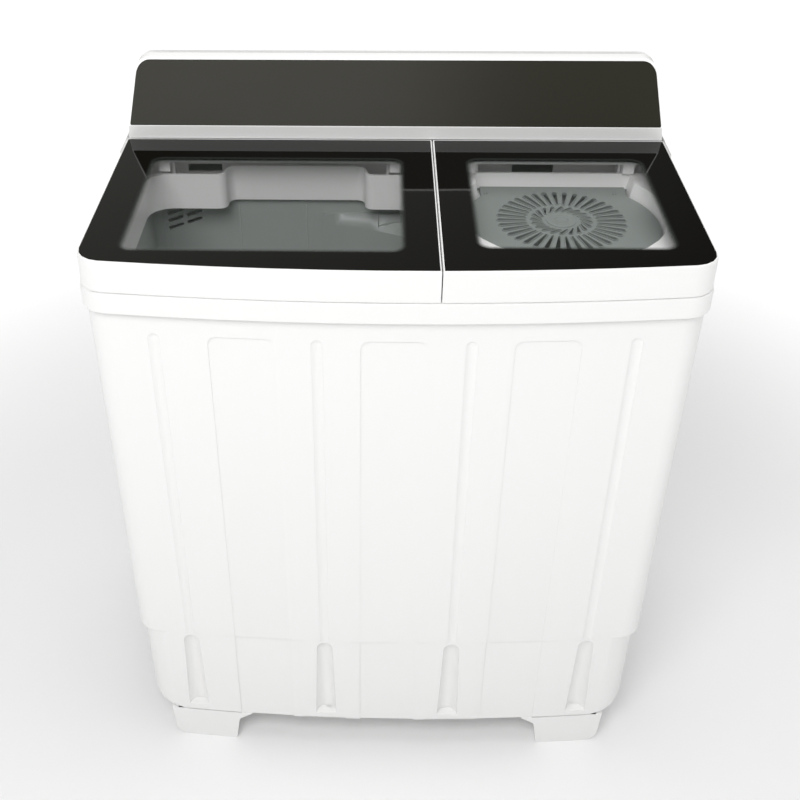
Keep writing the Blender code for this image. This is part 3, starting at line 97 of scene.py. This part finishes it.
world = bpy.data.worlds.new("pale_studio")
world.use_nodes = True
world.node_tree.nodes["Background"].inputs["Color"].default_value = (1.0, 1.0, 1.0, 1.0)
world.node_tree.nodes["Background"].inputs["Strength"].default_value = 0.42
bpy.context.scene.world = world

# %% [markdown]
# ## One colour function and one node function
# Paint and plastic samples are read as sRGB hex values, while a shader works in linear light,
# so every colour goes through one conversion. One short function adds a node with its settings
# and its links, and that is enough for every material here.

# %% Colour and node helpers


def linear(hex_colour):
    """An sRGB hex colour as linear RGBA."""
    parts = [int(hex_colour[i:i + 2], 16) / 255 for i in (1, 3, 5)]
    low = [part / 12.92 if part <= 0.04045 else ((part + 0.055) / 1.055) ** 2.4 for part in parts]
    return (*low, 1.0)


def add(material, kind, sockets=None, **settings):
    """Adds a node. sockets maps an input's name or number to a value or another node's output."""
    made = material.node_tree.nodes.new(kind)
    for name, value in settings.items():
        setattr(made, name, value)
    for name, value in (sockets or {}).items():
        if isinstance(value, bpy.types.NodeSocket):
            material.node_tree.links.new(value, made.inputs[name])
        else:
            made.inputs[name].default_value = value
    return made


def new_material(name, colour, roughness, metallic=0.0):
    """A Principled material and its shader, with a plain colour to build on."""
    made = bpy.data.materials.new(name)
    made.use_nodes = True
    shader = made.node_tree.nodes["Principled BSDF"]
    shader.inputs["Base Color"].default_value = linear(colour)
    shader.inputs["Roughness"].default_value = roughness
    shader.inputs["Metallic"].default_value = metallic
    return made, shader


def link(material, output, socket):
    """Feeds one node's output to another node's input."""
    material.node_tree.links.new(output, socket)


# %% [markdown]
# ## Moulded plastics
# The white shells are ABS from a polished mould: the surface is glossy, but the plastic shrinks
# a little as it cools, which leaves a faint waviness, and handling leaves its gloss uneven. A
# slow noise moves the roughness, and a finer one drives a very shallow bump. The tubs are
# polypropylene, which is softer, duller and a little cloudy, so the same recipe is used with
# more roughness and some light passing under the surface.

# %% Plastic recipe
GLOSS_PATCH = 70 * MM               # size of a patch of even gloss
GLOSS_SPREAD = 0.06                 # how far the roughness moves to either side
GLOW_DEPTH = 4 * MM                 # how far light passes under the surface of a cloudy plastic


def moulded_plastic(name, colour, roughness, wave_mm, wave_depth_mm, glow=0.0):
    """Plastic from a mould: uneven gloss and shallow waves of a real size."""
    material, shader = new_material(name, colour, roughness)
    place = add(material, "ShaderNodeTexCoord").outputs["Object"]
    gloss = add(material, "ShaderNodeTexNoise", {
        "Vector": place, "Scale": 1 / GLOSS_PATCH, "Detail": 3.0})
    spread = add(material, "ShaderNodeMapRange", {
        "Value": gloss.outputs["Fac"],
        "To Min": roughness - GLOSS_SPREAD, "To Max": roughness + GLOSS_SPREAD})
    link(material, spread.outputs["Result"], shader.inputs["Roughness"])
    waves = add(material, "ShaderNodeTexNoise", {
        "Vector": place, "Scale": 1 / (wave_mm * MM), "Detail": 2.0})
    bump = add(material, "ShaderNodeBump", {
        "Height": waves.outputs["Fac"], "Distance": wave_depth_mm * MM, "Strength": 1.0})
    link(material, bump.outputs["Normal"], shader.inputs["Normal"])
    if glow:
        shader.inputs["Subsurface Weight"].default_value = glow
        shader.inputs["Subsurface Radius"].default_value = (GLOW_DEPTH, GLOW_DEPTH, GLOW_DEPTH)
        shader.inputs["Subsurface Scale"].default_value = 1.0
    print(name, colour)
    return material


# Injection-moulded white ABS: bright, glossy, with broad soft highlights.
white_abs = moulded_plastic("white_moulded_abs", "#F5F5F4", 0.35, 24, 0.020)
# Natural polypropylene for hidden mouldings and the pulsator: whiter than milk glass, satin.
white_pp = moulded_plastic("white_moulded_polypropylene", "#DDE0DE", 0.42, 9, 0.015, glow=0.05)
# The wash tub's grey polypropylene: satin, with a faint flow pattern in the moulding.
grey_pp = moulded_plastic("grey_moulded_polypropylene", "#AAAFAC", 0.40, 12, 0.020, glow=0.03)
# The spinner's safety lid: translucent grey copolymer, glossy on top.
lid_grey = moulded_plastic("translucent_grey_copolymer", "#8A908D", 0.35, 15, 0.010, glow=0.08)
# Glass-filled black nylon for the inlet valve and the lid switch: dull and grainy.
black_nylon = moulded_plastic("black_filled_nylon", "#1B1B1C", 0.50, 3, 0.010)
# Unfilled grey nylon for the two water outlets: satin, paler than the black parts, and its colour
# is painted paler still than the nylon's own grey, as painted light against the shade under the top
# cover.
outlet_grey_painted_paler = moulded_plastic("outlet_nylon_painted_paler_against_shade", "#A4A9A4", 0.45, 4, 0.010)

# %% [markdown]
# ## Glass, print and fascia
# Each lid is tempered glass with a black ceramic ink fired onto its underside, open over a
# window with a feathered, rounded border. Ink behind glass has no texture of its own: what the
# eye sees is a deep black under a mirror-smooth surface. The window is lightly smoked, so it
# dims what is behind it. One material holds both, and a mask worked out from the window's
# half sizes and corner radius picks between them.

# %% Window mask
CORNER_MM = 16                      # radius of a window's corners
FEATHER_MM = 5.5                    # half the width of its feathered border


def rounded_window(material, x0, x1, y0, y1):
    """A mask that is 1 inside a rounded rectangle and falls to 0 across its feathered border."""
    radius = CORNER_MM * MM
    feather = FEATHER_MM * MM
    place = add(material, "ShaderNodeTexCoord").outputs["Object"]
    middle = ((x0 + x1) / 2, (y0 + y1) / 2, 0.0)
    inner = ((x1 - x0) / 2 - radius, (y1 - y0) / 2 - radius, 10.0)
    centred = add(material, "ShaderNodeVectorMath", {0: place, 1: middle}, operation="SUBTRACT")
    folded = add(material, "ShaderNodeVectorMath", {
        0: centred.outputs["Vector"]}, operation="ABSOLUTE")
    past = add(material, "ShaderNodeVectorMath", {
        0: folded.outputs["Vector"], 1: inner}, operation="SUBTRACT")
    outside = add(material, "ShaderNodeVectorMath", {
        0: past.outputs["Vector"], 1: (0.0, 0.0, 0.0)}, operation="MAXIMUM")
    reach = add(material, "ShaderNodeVectorMath", {
        0: outside.outputs["Vector"]}, operation="LENGTH")
    return add(material, "ShaderNodeMapRange", {
        "Value": reach.outputs["Value"],
        "From Min": radius - feather, "From Max": radius + feather,
        "To Min": 1.0, "To Max": 0.0}, interpolation_type="SMOOTHSTEP").outputs["Result"]


# %% Printed glass
INK = "#0C0B09"                     # black ceramic ink, seen through the glass
SMOKE = "#4E534F"                   # the greenish grey of the smoked window
SMOKE_COVER = 0.06                  # the share of what lies behind that the smoke hides
GLASS_ROUGHNESS = 0.035
GLASS_SHEEN = 0.15                  # less than plain glass has, so that the ink stays black
WASH_WINDOW = (-0.350, 0.010, -0.192, 0.0888)
SPIN_WINDOW = (0.106, 0.355, -0.180, 0.0905)


def printed_glass(name, window):
    """Glass over black ink, with a smoked window from x0 to x1 and from y0 to y1."""
    material, shader = new_material(name, INK, GLASS_ROUGHNESS)
    clear = rounded_window(material, *window)
    smoke = add(material, "ShaderNodeMix", {
        0: clear, 6: linear(INK), 7: linear(SMOKE)}, data_type="RGBA")
    link(material, smoke.outputs[2], shader.inputs["Base Color"])
    cover = add(material, "ShaderNodeMapRange", {
        "Value": clear, "To Min": 1.0, "To Max": SMOKE_COVER})
    link(material, cover.outputs["Result"], shader.inputs["Alpha"])
    shader.inputs["Specular IOR Level"].default_value = GLASS_SHEEN
    print(name, "window", window)
    return material


wash_glass = printed_glass("wash_lid_printed_glass", WASH_WINDOW)
spin_glass = printed_glass("spin_lid_printed_glass", SPIN_WINDOW)

# %% Fascia
# Dark acrylic sheet over the touch controls: printed on its back, so it is smooth and deep.
FASCIA_HAZE = 120 * MM              # size of a patch of even haze
FASCIA_SHEEN = 0.06                 # less than plain acrylic has, so that the sheet stays dark
FASCIA_GLOSSY, FASCIA_DULL = 0.18, 0.26
fascia_acrylic, fascia_shader = new_material("dark_fascia_acrylic", "#2F2E27", 0.22)
fascia_shader.inputs["Specular IOR Level"].default_value = FASCIA_SHEEN
fascia_place = add(fascia_acrylic, "ShaderNodeTexCoord").outputs["Object"]
fascia_haze = add(fascia_acrylic, "ShaderNodeTexNoise", {
    "Vector": fascia_place, "Scale": 1 / FASCIA_HAZE, "Detail": 2.0})
fascia_gloss = add(fascia_acrylic, "ShaderNodeMapRange", {
    "Value": fascia_haze.outputs["Fac"], "To Min": FASCIA_GLOSSY, "To Max": FASCIA_DULL})
link(fascia_acrylic, fascia_gloss.outputs["Result"], fascia_shader.inputs["Roughness"])

# %% [markdown]
# ## Metals, rubber and the circuit board
# Inside are zinc-plated steel, cast aluminium and black rubber. Plating has a fine crystal
# bloom, a casting keeps the grain of its sand, and rubber keeps a matt skin with dust on it.

# %% Metals, rubber and board
BLOOM_BELOW, BLOOM_ABOVE = 0.10, 0.12       # how far a metal's roughness moves to either side


def rough_metal(name, colour, roughness, grain_mm, depth_mm):
    """A metal whose grain, of a real size, moves its gloss and roughens its surface."""
    material, shader = new_material(name, colour, roughness, 1.0)
    place = add(material, "ShaderNodeTexCoord").outputs["Object"]
    grain = add(material, "ShaderNodeTexNoise", {
        "Vector": place, "Scale": 1 / (grain_mm * MM), "Detail": 4.0})
    spread = add(material, "ShaderNodeMapRange", {
        "Value": grain.outputs["Fac"],
        "To Min": roughness - BLOOM_BELOW, "To Max": roughness + BLOOM_ABOVE})
    link(material, spread.outputs["Result"], shader.inputs["Roughness"])
    bump = add(material, "ShaderNodeBump", {
        "Height": grain.outputs["Fac"], "Distance": depth_mm * MM})
    link(material, bump.outputs["Normal"], shader.inputs["Normal"])
    return material


# Zinc plate: bluish and bright, with a crystal bloom of a few millimetres.
zinc_steel = rough_metal("zinc_plated_steel", "#C3C7CB", 0.39, 4.0, 0.01)
# Sand-cast aluminium: pale grey with a grain of about a millimetre.
cast_aluminium = rough_metal("cast_aluminium", "#B9BBBC", 0.50, 1.2, 0.12)
# Moulded nitrile rubber: nearly black, matt, with a fine grain.
black_rubber = moulded_plastic("black_nitrile_rubber", "#171718", 0.75, 1.5, 0.03)
# Green solder resist over glass-epoxy laminate: glossy, with tracks just under it.
board_green, board_shader = new_material("solder_resist_laminate", "#12522B", 0.35)
board_place = add(board_green, "ShaderNodeTexCoord").outputs["Object"]
tracks = add(board_green, "ShaderNodeTexBrick", {
    "Vector": board_place, "Color1": linear("#12522B"), "Color2": linear("#174F2D"),
    "Mortar": linear("#1F6B3A"), "Scale": 1.0,
    "Mortar Size": 0.6 * MM, "Brick Width": 12 * MM, "Row Height": 4 * MM})
link(board_green, tracks.outputs["Color"], board_shader.inputs["Base Color"])

# %% [markdown]
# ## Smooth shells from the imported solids
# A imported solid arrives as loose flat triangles, which is right for physics but shows as
# facets. A moulder would see continuous surfaces there. So each solid that shows is copied and
# its triangles are merged into clean faces. Faces that meet at a shallow angle are shaded as one
# surface, each real edge stays crisp, and the copy stands in for the solid.

# %% Copies with merged faces
SAME_PLACE = 0.005 * MM             # corners closer than this are one corner
FLAT = math.radians(0.3)            # faces that turn less than this are one face
CREASE = math.radians(32)           # edges sharper than this stay crisp
LARGE_FACES_FIRST = 80              # how far large faces outweigh small ones in the shading


def select_only(made):
    """Selects one object and makes it the active one."""
    for other in bpy.context.selected_objects:
        other.select_set(False)
    made.select_set(True)
    bpy.context.view_layer.objects.active = made


def smooth_copy(node, name, body, material, slot):
    """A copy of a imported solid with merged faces, soft shading and its own material."""
    source = frame["nodes"][node]
    made = source.copy()
    made.data = source.data.copy()
    made.name = name
    bpy.context.scene.collection.objects.link(made)
    made.parent = None
    made.matrix_world = Matrix.Identity(4)
    select_only(made)
    bpy.ops.object.mode_set(mode="EDIT")
    bpy.ops.mesh.select_all(action="SELECT")
    bpy.ops.mesh.remove_doubles(threshold=SAME_PLACE)
    bpy.ops.mesh.dissolve_limited(angle_limit=FLAT)
    bpy.ops.object.mode_set(mode="OBJECT")
    bpy.ops.object.shade_smooth_by_angle(angle=CREASE)
    normals = made.modifiers.new("normals", "WEIGHTED_NORMAL")
    normals.keep_sharp = True
    normals.weight = LARGE_FACES_FIRST
    bpy.ops.object.modifier_apply(modifier="normals")
    made.data.materials.clear()
    made.data.materials.append(material)
    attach(made, body)
    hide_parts(node)
    print(name, len(made.data.polygons), "faces")
    return made


# %% [markdown]
# ## Which solids show
# From outside and through the windows, the eye sees the white shells, the lids and their glass,
# the fascia, and the tubs with what turns in them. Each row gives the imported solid, the copy's
# name, the body that it moves with, its material and the record's slot for it.

# %% Shells
copies = {}
for row in (
    ("cabinet", "cabinet_shell", "machine", white_abs, "white_abs"),
    ("base", "base_shell", "machine", white_abs, "white_abs"),
    ("top_cover", "top_cover_shell", "machine", white_abs, "white_abs"),
    ("control_housing", "control_housing_shell", "machine", white_abs, "white_abs"),
    ("control_back_cover", "control_back_shell", "machine", white_abs, "white_abs"),
    ("rear_cover", "rear_service_cover", "machine", white_abs, "white_abs"),
    ("foot_front_left", "bracket_foot_front_left", "machine", white_abs, "white_abs"),
    ("foot_front_right", "bracket_foot_front_right", "machine", white_abs, "white_abs"),
    ("foot_rear_left", "bracket_foot_rear_left", "machine", white_abs, "white_abs"),
    ("foot_rear_right", "bracket_foot_rear_right", "machine", white_abs, "white_abs"),
    ("wash_lid_frame", "wash_lid_moulding", "wash_lid", white_abs, "white_abs"),
    ("spin_lid_frame", "spin_lid_moulding", "spin_lid", white_abs, "white_abs"),
    ("wash_lid_glass", "wash_lid_pane", "wash_lid", wash_glass, "printed_glass"),
    ("spin_lid_glass", "spin_lid_pane", "spin_lid", spin_glass, "printed_glass"),
    ("control_fascia", "touch_fascia", "machine", fascia_acrylic, "fascia_acrylic"),
    ("wash_tub", "wash_tub_moulding", "machine", grey_pp, "grey_tub_polypropylene"),
    ("filter_panel", "rinse_channel_cover", "machine", grey_pp, "grey_tub_polypropylene"),
    ("spin_tub", "spin_tub_moulding", "machine", white_pp, "white_polypropylene"),
    ("spin_basket", "spin_basket_moulding", "spinner", white_pp, "white_polypropylene"),
    ("pulsator", "pulsator_moulding", "pulsator_rotor", white_pp, "white_polypropylene"),
    ("lint_filter", "lint_filter_frame", "filter", grey_pp, "white_polypropylene"),
    ("inner_lid", "safety_lid", "safety_lid", lid_grey, "translucent_grey_plastic"),
):
    copies[row[0]] = smooth_copy(*row)
wash_tub = copies["wash_tub"]
safety_lid = copies["inner_lid"]

# %% [markdown]
# ## Modelling helpers
# Each new piece starts as a primitive at its own size and place, is shaped in edit mode, and
# has its modifiers applied. Repeats round an axis come from one spin that leaves copies.

# %% Modelling helpers
SOFTENED = math.radians(35)         # edges sharper than this are rounded


def started(made, name):
    """Names a new primitive and puts its place into its mesh."""
    made.name = name
    select_only(made)
    bpy.ops.object.transform_apply(location=True, rotation=True, scale=True)
    return made


def cylinder(name, place, radius, depth, vertices):
    """An upright cylinder round its place."""
    bpy.ops.object.select_all(action="DESELECT")
    bpy.ops.mesh.primitive_cylinder_add(
        vertices=vertices, radius=radius, depth=depth, location=place)
    return started(bpy.context.object, name)


def box(name, place, size):
    """A box round its place."""
    bpy.ops.object.select_all(action="DESELECT")
    bpy.ops.mesh.primitive_cube_add(size=1.0, location=place, scale=size)
    return started(bpy.context.object, name)


def edit_where(made, test, domain="VERT"):
    """Enters edit mode with only the vertices or faces that pass the test selected."""
    select_only(made)
    bpy.ops.object.mode_set(mode="EDIT")
    bpy.ops.mesh.select_mode(type=domain)
    bpy.ops.mesh.select_all(action="DESELECT")
    bpy.ops.object.mode_set(mode="OBJECT")
    for item in made.data.vertices if domain == "VERT" else made.data.polygons:
        item.select = test(item)
    bpy.ops.object.mode_set(mode="EDIT")


def leave_edit():
    """Goes back to object mode."""
    bpy.ops.object.mode_set(mode="OBJECT")


def apply_modifier(made, kind, **settings):
    """Adds a modifier with its settings and applies it."""
    select_only(made)
    added = made.modifiers.new(kind.lower(), kind)
    for name, value in settings.items():
        setattr(added, name, value)
    bpy.ops.object.modifier_apply(modifier=added.name)


def rounded(made, width_mm, segments=2):
    """Rounds every edge that a hand would feel."""
    apply_modifier(made, "BEVEL", width=width_mm * MM, segments=segments, limit_method="ANGLE",
                   angle_limit=SOFTENED)


def cut_away(made, cutter):
    """Cuts one solid out of another, and removes the cutter."""
    apply_modifier(made, "BOOLEAN", object=cutter, operation="DIFFERENCE", solver="EXACT")
    bpy.data.objects.remove(cutter)


def merged(name, pieces):
    """Joins several solids into one object."""
    for piece in bpy.context.selected_objects:
        piece.select_set(False)
    for piece in pieces:
        piece.select_set(True)
    bpy.context.view_layer.objects.active = pieces[0]
    bpy.ops.object.join()
    pieces[0].name = name
    return pieces[0]


def ring_of(made, count, centre):
    """Repeats a solid count times round an upright axis."""
    edit_where(made, lambda vertex: True)
    bpy.ops.mesh.spin(steps=count - 1, dupli=True, angle=2 * math.pi * (count - 1) / count,
                      center=centre, axis=(0, 0, 1))
    leave_edit()
    return made


def finished(made, body, material):
    """Outward normals, soft shading, a material and a body."""
    edit_where(made, lambda vertex: True)
    bpy.ops.mesh.normals_make_consistent(inside=False)
    leave_edit()
    bpy.ops.object.shade_smooth_by_angle(angle=CREASE)
    made.data.materials.clear()
    made.data.materials.append(material)
    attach(made, body)
    print(made.name, len(made.data.polygons), "faces")
    return made


# %% [markdown]
# ## The safety lid's grille
# The middle of the safety lid is one moulded grille: a ring of long teardrop slots, narrow
# towards the hub, and inside it a ring of short leaning ones, like a turbine. Every slot has a
# raised lip, which stiffens the thin plate and catches the light.

# %% Grille
GRILLE = (0.236, 0.0, 0.868)        # centre, on the lid's top face
GRILLE_X, GRILLE_Y, GRILLE_Z = GRILLE
GRILLE_RADIUS = 99 * MM
PLATE_DEPTH = 2.8 * MM
LIP = 1.1 * MM
LIP_HEIGHT = 3.0 * MM
CUT_DEPTH = 12 * MM                 # far enough to pass through the plate


def teardrop(name, near, far, near_half, far_half, lean):
    """A flat slot outline from near to far along +X of the grille, in mm from its centre."""
    x, y, z = GRILLE
    bpy.ops.object.select_all(action="DESELECT")
    bpy.ops.mesh.primitive_circle_add(
        vertices=16, radius=far_half * MM, fill_type="NGON", location=(x + far * MM, y, z))
    made = started(bpy.context.object, name)
    edit_where(made, lambda vertex: vertex.co.x < x + (far - 0.1) * MM)
    bpy.ops.transform.translate(value=((near - far) * MM, 0, 0))
    share = near_half / far_half
    bpy.ops.transform.resize(value=(share, share, 1), center_override=(x + near * MM, y, z))
    bpy.ops.mesh.select_all(action="SELECT")
    if lean:
        middle = x + (near + far) / 2 * MM
        bpy.ops.transform.rotate(
            value=math.radians(lean), orient_axis="Z", center_override=(middle, y, z))
    leave_edit()
    return made


def slot_cutters(name, count, near, far, near_half, far_half, lean):
    """The solids that cut one ring of slots."""
    made = teardrop(name, near, far, near_half, far_half, lean)
    apply_modifier(made, "SOLIDIFY", thickness=CUT_DEPTH, offset=0.0)
    return ring_of(made, count, GRILLE)


def slot_lips(name, count, near, far, near_half, far_half, lean):
    """The raised lips round one ring of slots."""
    lip = LIP / MM
    made = teardrop(name, near, far, near_half + lip, far_half + lip, lean)
    edit_where(made, lambda face: True, "FACE")
    bpy.ops.mesh.inset(thickness=LIP)
    bpy.ops.mesh.delete(type="ONLY_FACE")
    leave_edit()
    apply_modifier(made, "SOLIDIFY", thickness=LIP_HEIGHT, offset=0.0)
    return ring_of(made, count, GRILLE)


# Each ring: how many, where a slot starts and ends, its half widths there, and its lean.
RINGS = {
    "outer": (36, 52, 87, 1.7, 3.5, 0),
    "inner": (20, 26.5, 42, 0.9, 2.6, 38),
}
plate = cylinder("grille_plate", (GRILLE_X, GRILLE_Y, GRILLE_Z - PLATE_DEPTH / 2),
                 GRILLE_RADIUS, PLATE_DEPTH, 72)
cut_away(safety_lid, cylinder("lid_hole", GRILLE, GRILLE_RADIUS, 20 * MM, 72))
for ring, shape in RINGS.items():
    cut_away(plate, slot_cutters(f"{ring}_cutters", *shape))
lips = [slot_lips(f"{ring}_lips", *shape) for ring, shape in RINGS.items()]

# %% [markdown]
# ## The grille's hub and clips
# The hub is a thin button with a dished middle, made by insetting its top face and pushing the
# new face down. Two pairs of small snap clips stand behind it, near the lid's hinge.

# %% Hub and clips
HUB_RADIUS, HUB_DEPTH = 21 * MM, 1.2 * MM
DISH_BORDER, DISH_DEPTH = 10.5 * MM, 0.8 * MM
CLIP_SIZE = (1.4 * MM, 7 * MM, 1.4 * MM)
CLIP_Y = 0.088
hub = cylinder("grille_hub", (GRILLE_X, GRILLE_Y, GRILLE_Z + 0.4 * MM), HUB_RADIUS, HUB_DEPTH, 40)
edit_where(hub, lambda face: face.normal.z > 0.9, "FACE")
bpy.ops.mesh.inset(thickness=DISH_BORDER)
bpy.ops.mesh.extrude_region_move(TRANSFORM_OT_translate={"value": (0, 0, -DISH_DEPTH)})
leave_edit()
rounded(hub, 0.35)
clips = []
for clip_x in (0.1335, 0.1375, 0.3225, 0.3265):
    clip = box("snap_clip", (clip_x, CLIP_Y, GRILLE_Z + 0.3 * MM), CLIP_SIZE)
    rounded(clip, 0.3)
    clips.append(clip)
grille = merged("safety_lid_grille", [plate, hub, *lips, *clips])
finished(grille, "safety_lid", lid_grey)

# %% [markdown]
# ## The wash tub's slots and ribs
# Two slanting columns of overflow slots pierce the tub's rear wall, and two upright ribs
# stiffen it.

# %% Slots and ribs
TUB_WALL_Y = 0.1455                 # middle of the tub's rear wall
SLOT_SIZE = (24 * MM, 12 * MM, 5.2 * MM)
SLOT_PITCH = 12.5 * MM
SLOT_LEAN = 0.35                    # radians
SLOT_COLUMNS = ((-0.3390, 4, 0.8200), (-0.3090, 3, 0.8180))     # place, count and top slot
RIB_SIZE = (3.2 * MM, 2.4 * MM, 0.360)
RIB_Y = TUB_WALL_Y - 1.9 * MM       # on the wall's inner face
RIB_MIDDLE_Z = 0.640
WALL_DRAFT = 0.0087                 # radians: the wall leans by the mould's draft angle


def turned(made, angle, axis, place):
    """Turns a solid about its own place."""
    edit_where(made, lambda vertex: True)
    bpy.ops.transform.rotate(value=angle, orient_axis=axis, center_override=place)
    leave_edit()
    return made


for column_x, column_count, column_top in SLOT_COLUMNS:
    for row in range(column_count):
        slot_place = (column_x, TUB_WALL_Y, column_top - SLOT_PITCH * row)
        slot = box("overflow_slot", slot_place, SLOT_SIZE)
        cut_away(wash_tub, turned(slot, SLOT_LEAN, "Y", slot_place))
ribs = []
for rib_x in (-0.238, -0.134):
    rib_place = (rib_x, RIB_Y, RIB_MIDDLE_Z)
    rib = turned(box("tub_rib", rib_place, RIB_SIZE), WALL_DRAFT, "X", rib_place)
    rounded(rib, 1.0)
    ribs.append(rib)
finished(merged("wash_tub_ribs", ribs), "machine", grey_pp)

# %% [markdown]
# ## The back
# The service cover is a flat moulding, stiffened by pressed ribs and held by four cross-head
# screws. Each screw has a pan head with a cross recess.

# %% Ribs on the cover
COVER_RIB_Y = 0.2434                # 0.6 mm outside the cover's face, so that a rib is rooted in it
COVER_RIB_SIZE = (0.580, 1.6 * MM, 9 * MM)
COVER_RIB_COUNT = 9
COVER_LOW, COVER_HIGH = 0.350, 0.760
rear_ribs = []
for rib_index in range(COVER_RIB_COUNT):
    rib_z = COVER_LOW + (COVER_HIGH - COVER_LOW) * rib_index / (COVER_RIB_COUNT - 1)
    rib = box("cover_rib", (0, COVER_RIB_Y, rib_z), COVER_RIB_SIZE)
    rounded(rib, 0.7)
    rear_ribs.append(rib)
finished(merged("service_cover_ribs", rear_ribs), "machine", white_abs)

# %% Screws
HEAD_DEPTH = 2.2 * MM
RECESS_WIDTH, RECESS_DEPTH = 0.9 * MM, 1.6 * MM
RECESS_SHARE, SHANK_SHARE = 1.1, 0.5        # of the head's radius
SHANK_CLEARANCE = 2 * MM                    # the shank stops this far under the head's face


def lying_cylinder(name, place, radius, depth, vertices):
    """A cylinder that lies along the machine's depth, as a screw in the back does."""
    bpy.ops.object.select_all(action="DESELECT")
    bpy.ops.mesh.primitive_cylinder_add(
        vertices=vertices, radius=radius, depth=depth, location=place,
        rotation=(math.radians(90), 0, 0))
    return started(bpy.context.object, name)


def cross_screw(node, name):
    """A pan head screw with a cross recess, at a packed screw's place."""
    packed = frame["nodes"][node]
    corners = [packed.matrix_world @ Vector(corner) for corner in packed.bound_box]
    low = Vector([min(corner[i] for corner in corners) for i in range(3)])
    high = Vector([max(corner[i] for corner in corners) for i in range(3)])
    middle = (low + high) / 2
    radius = (high.x - low.x) / 2
    head = lying_cylinder(
        name, (middle.x, high.y - HEAD_DEPTH / 2, middle.z), radius, HEAD_DEPTH, 28)
    rounded(head, 0.7, 3)
    arm = radius * RECESS_SHARE
    for size in ((arm, RECESS_DEPTH, RECESS_WIDTH), (RECESS_WIDTH, RECESS_DEPTH, arm)):
        cut_away(head, box("recess", (middle.x, high.y, middle.z), size))
    shank = lying_cylinder(
        name + "_shank", (middle.x, middle.y - SHANK_CLEARANCE / 2, middle.z),
        radius * SHANK_SHARE, high.y - low.y - SHANK_CLEARANCE, 16)
    made = merged(name, [head, shank])
    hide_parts(node)
    return finished(made, "machine", zinc_steel)


for screw_index in range(1, 5):
    cross_screw(f"rear_cover_screw_{screw_index}", f"cross_head_screw_{screw_index}")

# %% [markdown]
# ## Everything else
# The works inside, and the solids that a copy stands in for, keep their imported shape and get a
# real material in place of the plain one. The record names a finish for every solid. Only the
# two water outlets differ from their finish: their nylon is unfilled and grey, and that grey is
# painted paler still, as painted light against the shade that falls under the top cover.

# %% Everything else gets its material in place
FINISHES = {
    "white_polypropylene": white_pp, "black_plastic": black_nylon, "black_rubber": black_rubber,
    "zinc_plated_steel": zinc_steel, "cast_aluminium": cast_aluminium, "circuit_board": board_green,
    "white_abs": white_abs, "grey_tub_polypropylene": grey_pp, "translucent_grey_plastic": lid_grey,
    "fascia_acrylic": fascia_acrylic, "printed_glass": wash_glass,
}
slot_of = {row["node"]: row["material_slot"] for row in frame["record"]["subparts"]}
for node_name, node_object in frame["nodes"].items():
    # The outlets get a grey that is painted paler to make up for the shade under the top cover.
    finish = outlet_grey_painted_paler if node_name.endswith("_spout") else FINISHES[slot_of[node_name]]
    for material_slot in node_object.material_slots:
        material_slot.material = finish
print("finished", len(slot_of), "packed nodes")

# %% [markdown]
# ## The floor and the flag
# A wide pale plane takes the machine's soft shadow, and glows a little further away, as a paper
# sweep does that has a light of its own. Black glass shows only what it reflects, so a grey
# flag stands high behind the machine, lighter at its left end, where only reflections see it.

# %% Floor
FLOOR_SIZE = 14
FLOOR_DROP = 0.2 * MM               # keeps the feet's undersides clear of the paper
GLOW_STARTS, GLOW_FULL, GLOW = 0.8, 2.4, 0.62      # metres from the middle, and its strength
bpy.ops.object.select_all(action="DESELECT")
bpy.ops.mesh.primitive_plane_add(size=FLOOR_SIZE, location=(0, 0, -FLOOR_DROP))
floor = bpy.context.object
floor.name = "studio_floor"
floor_paint, floor_shader = new_material("matt_white_floor_paper", "#FBFBFB", 0.9)
floor_place = add(floor_paint, "ShaderNodeTexCoord").outputs["Object"]
floor_reach = add(floor_paint, "ShaderNodeVectorMath", {0: floor_place}, operation="LENGTH")
floor_glow = add(floor_paint, "ShaderNodeMapRange", {
    "Value": floor_reach.outputs["Value"], "From Min": GLOW_STARTS, "From Max": GLOW_FULL,
    "To Max": GLOW}, interpolation_type="SMOOTHSTEP")
floor_shader.inputs["Emission Color"].default_value = linear("#FFFFFF")
link(floor_paint, floor_glow.outputs["Result"], floor_shader.inputs["Emission Strength"])
floor_paint.cycles.emission_sampling = "NONE"
floor.data.materials.append(floor_paint)

# %% Flag
FLAG_PLACE = (0, 2.5, 2.05)
FLAG_SIZE = (7.0, 3.2, 1.0)
FLAG_FADE = 1.4                     # it fades over this far to either side of the middle
FLAG_LEFT, FLAG_RIGHT = 0.42, 0.04  # how light its two ends are
bpy.ops.object.select_all(action="DESELECT")
bpy.ops.mesh.primitive_plane_add(
    size=1.0, location=FLAG_PLACE, rotation=(math.radians(90), 0, 0))
bpy.context.object.scale = FLAG_SIZE
flag = started(bpy.context.object, "studio_flag")
flag_cloth, flag_shader = new_material("grey_flag_cloth", "#050505", 0.9)
flag_place = add(flag_cloth, "ShaderNodeTexCoord").outputs["Object"]
flag_across = add(flag_cloth, "ShaderNodeSeparateXYZ", {"Vector": flag_place}).outputs["X"]
flag_glow = add(flag_cloth, "ShaderNodeMapRange", {
    "Value": flag_across, "From Min": -FLAG_FADE, "From Max": FLAG_FADE,
    "To Min": FLAG_LEFT, "To Max": FLAG_RIGHT})
flag_shader.inputs["Emission Color"].default_value = linear("#FFFFF6")
link(flag_cloth, flag_glow.outputs["Result"], flag_shader.inputs["Emission Strength"])
flag_cloth.cycles.emission_sampling = "NONE"
flag.data.materials.append(flag_cloth)
flag.visible_camera = False
flag.visible_diffuse = False
flag.visible_transmission = False
flag.visible_shadow = False
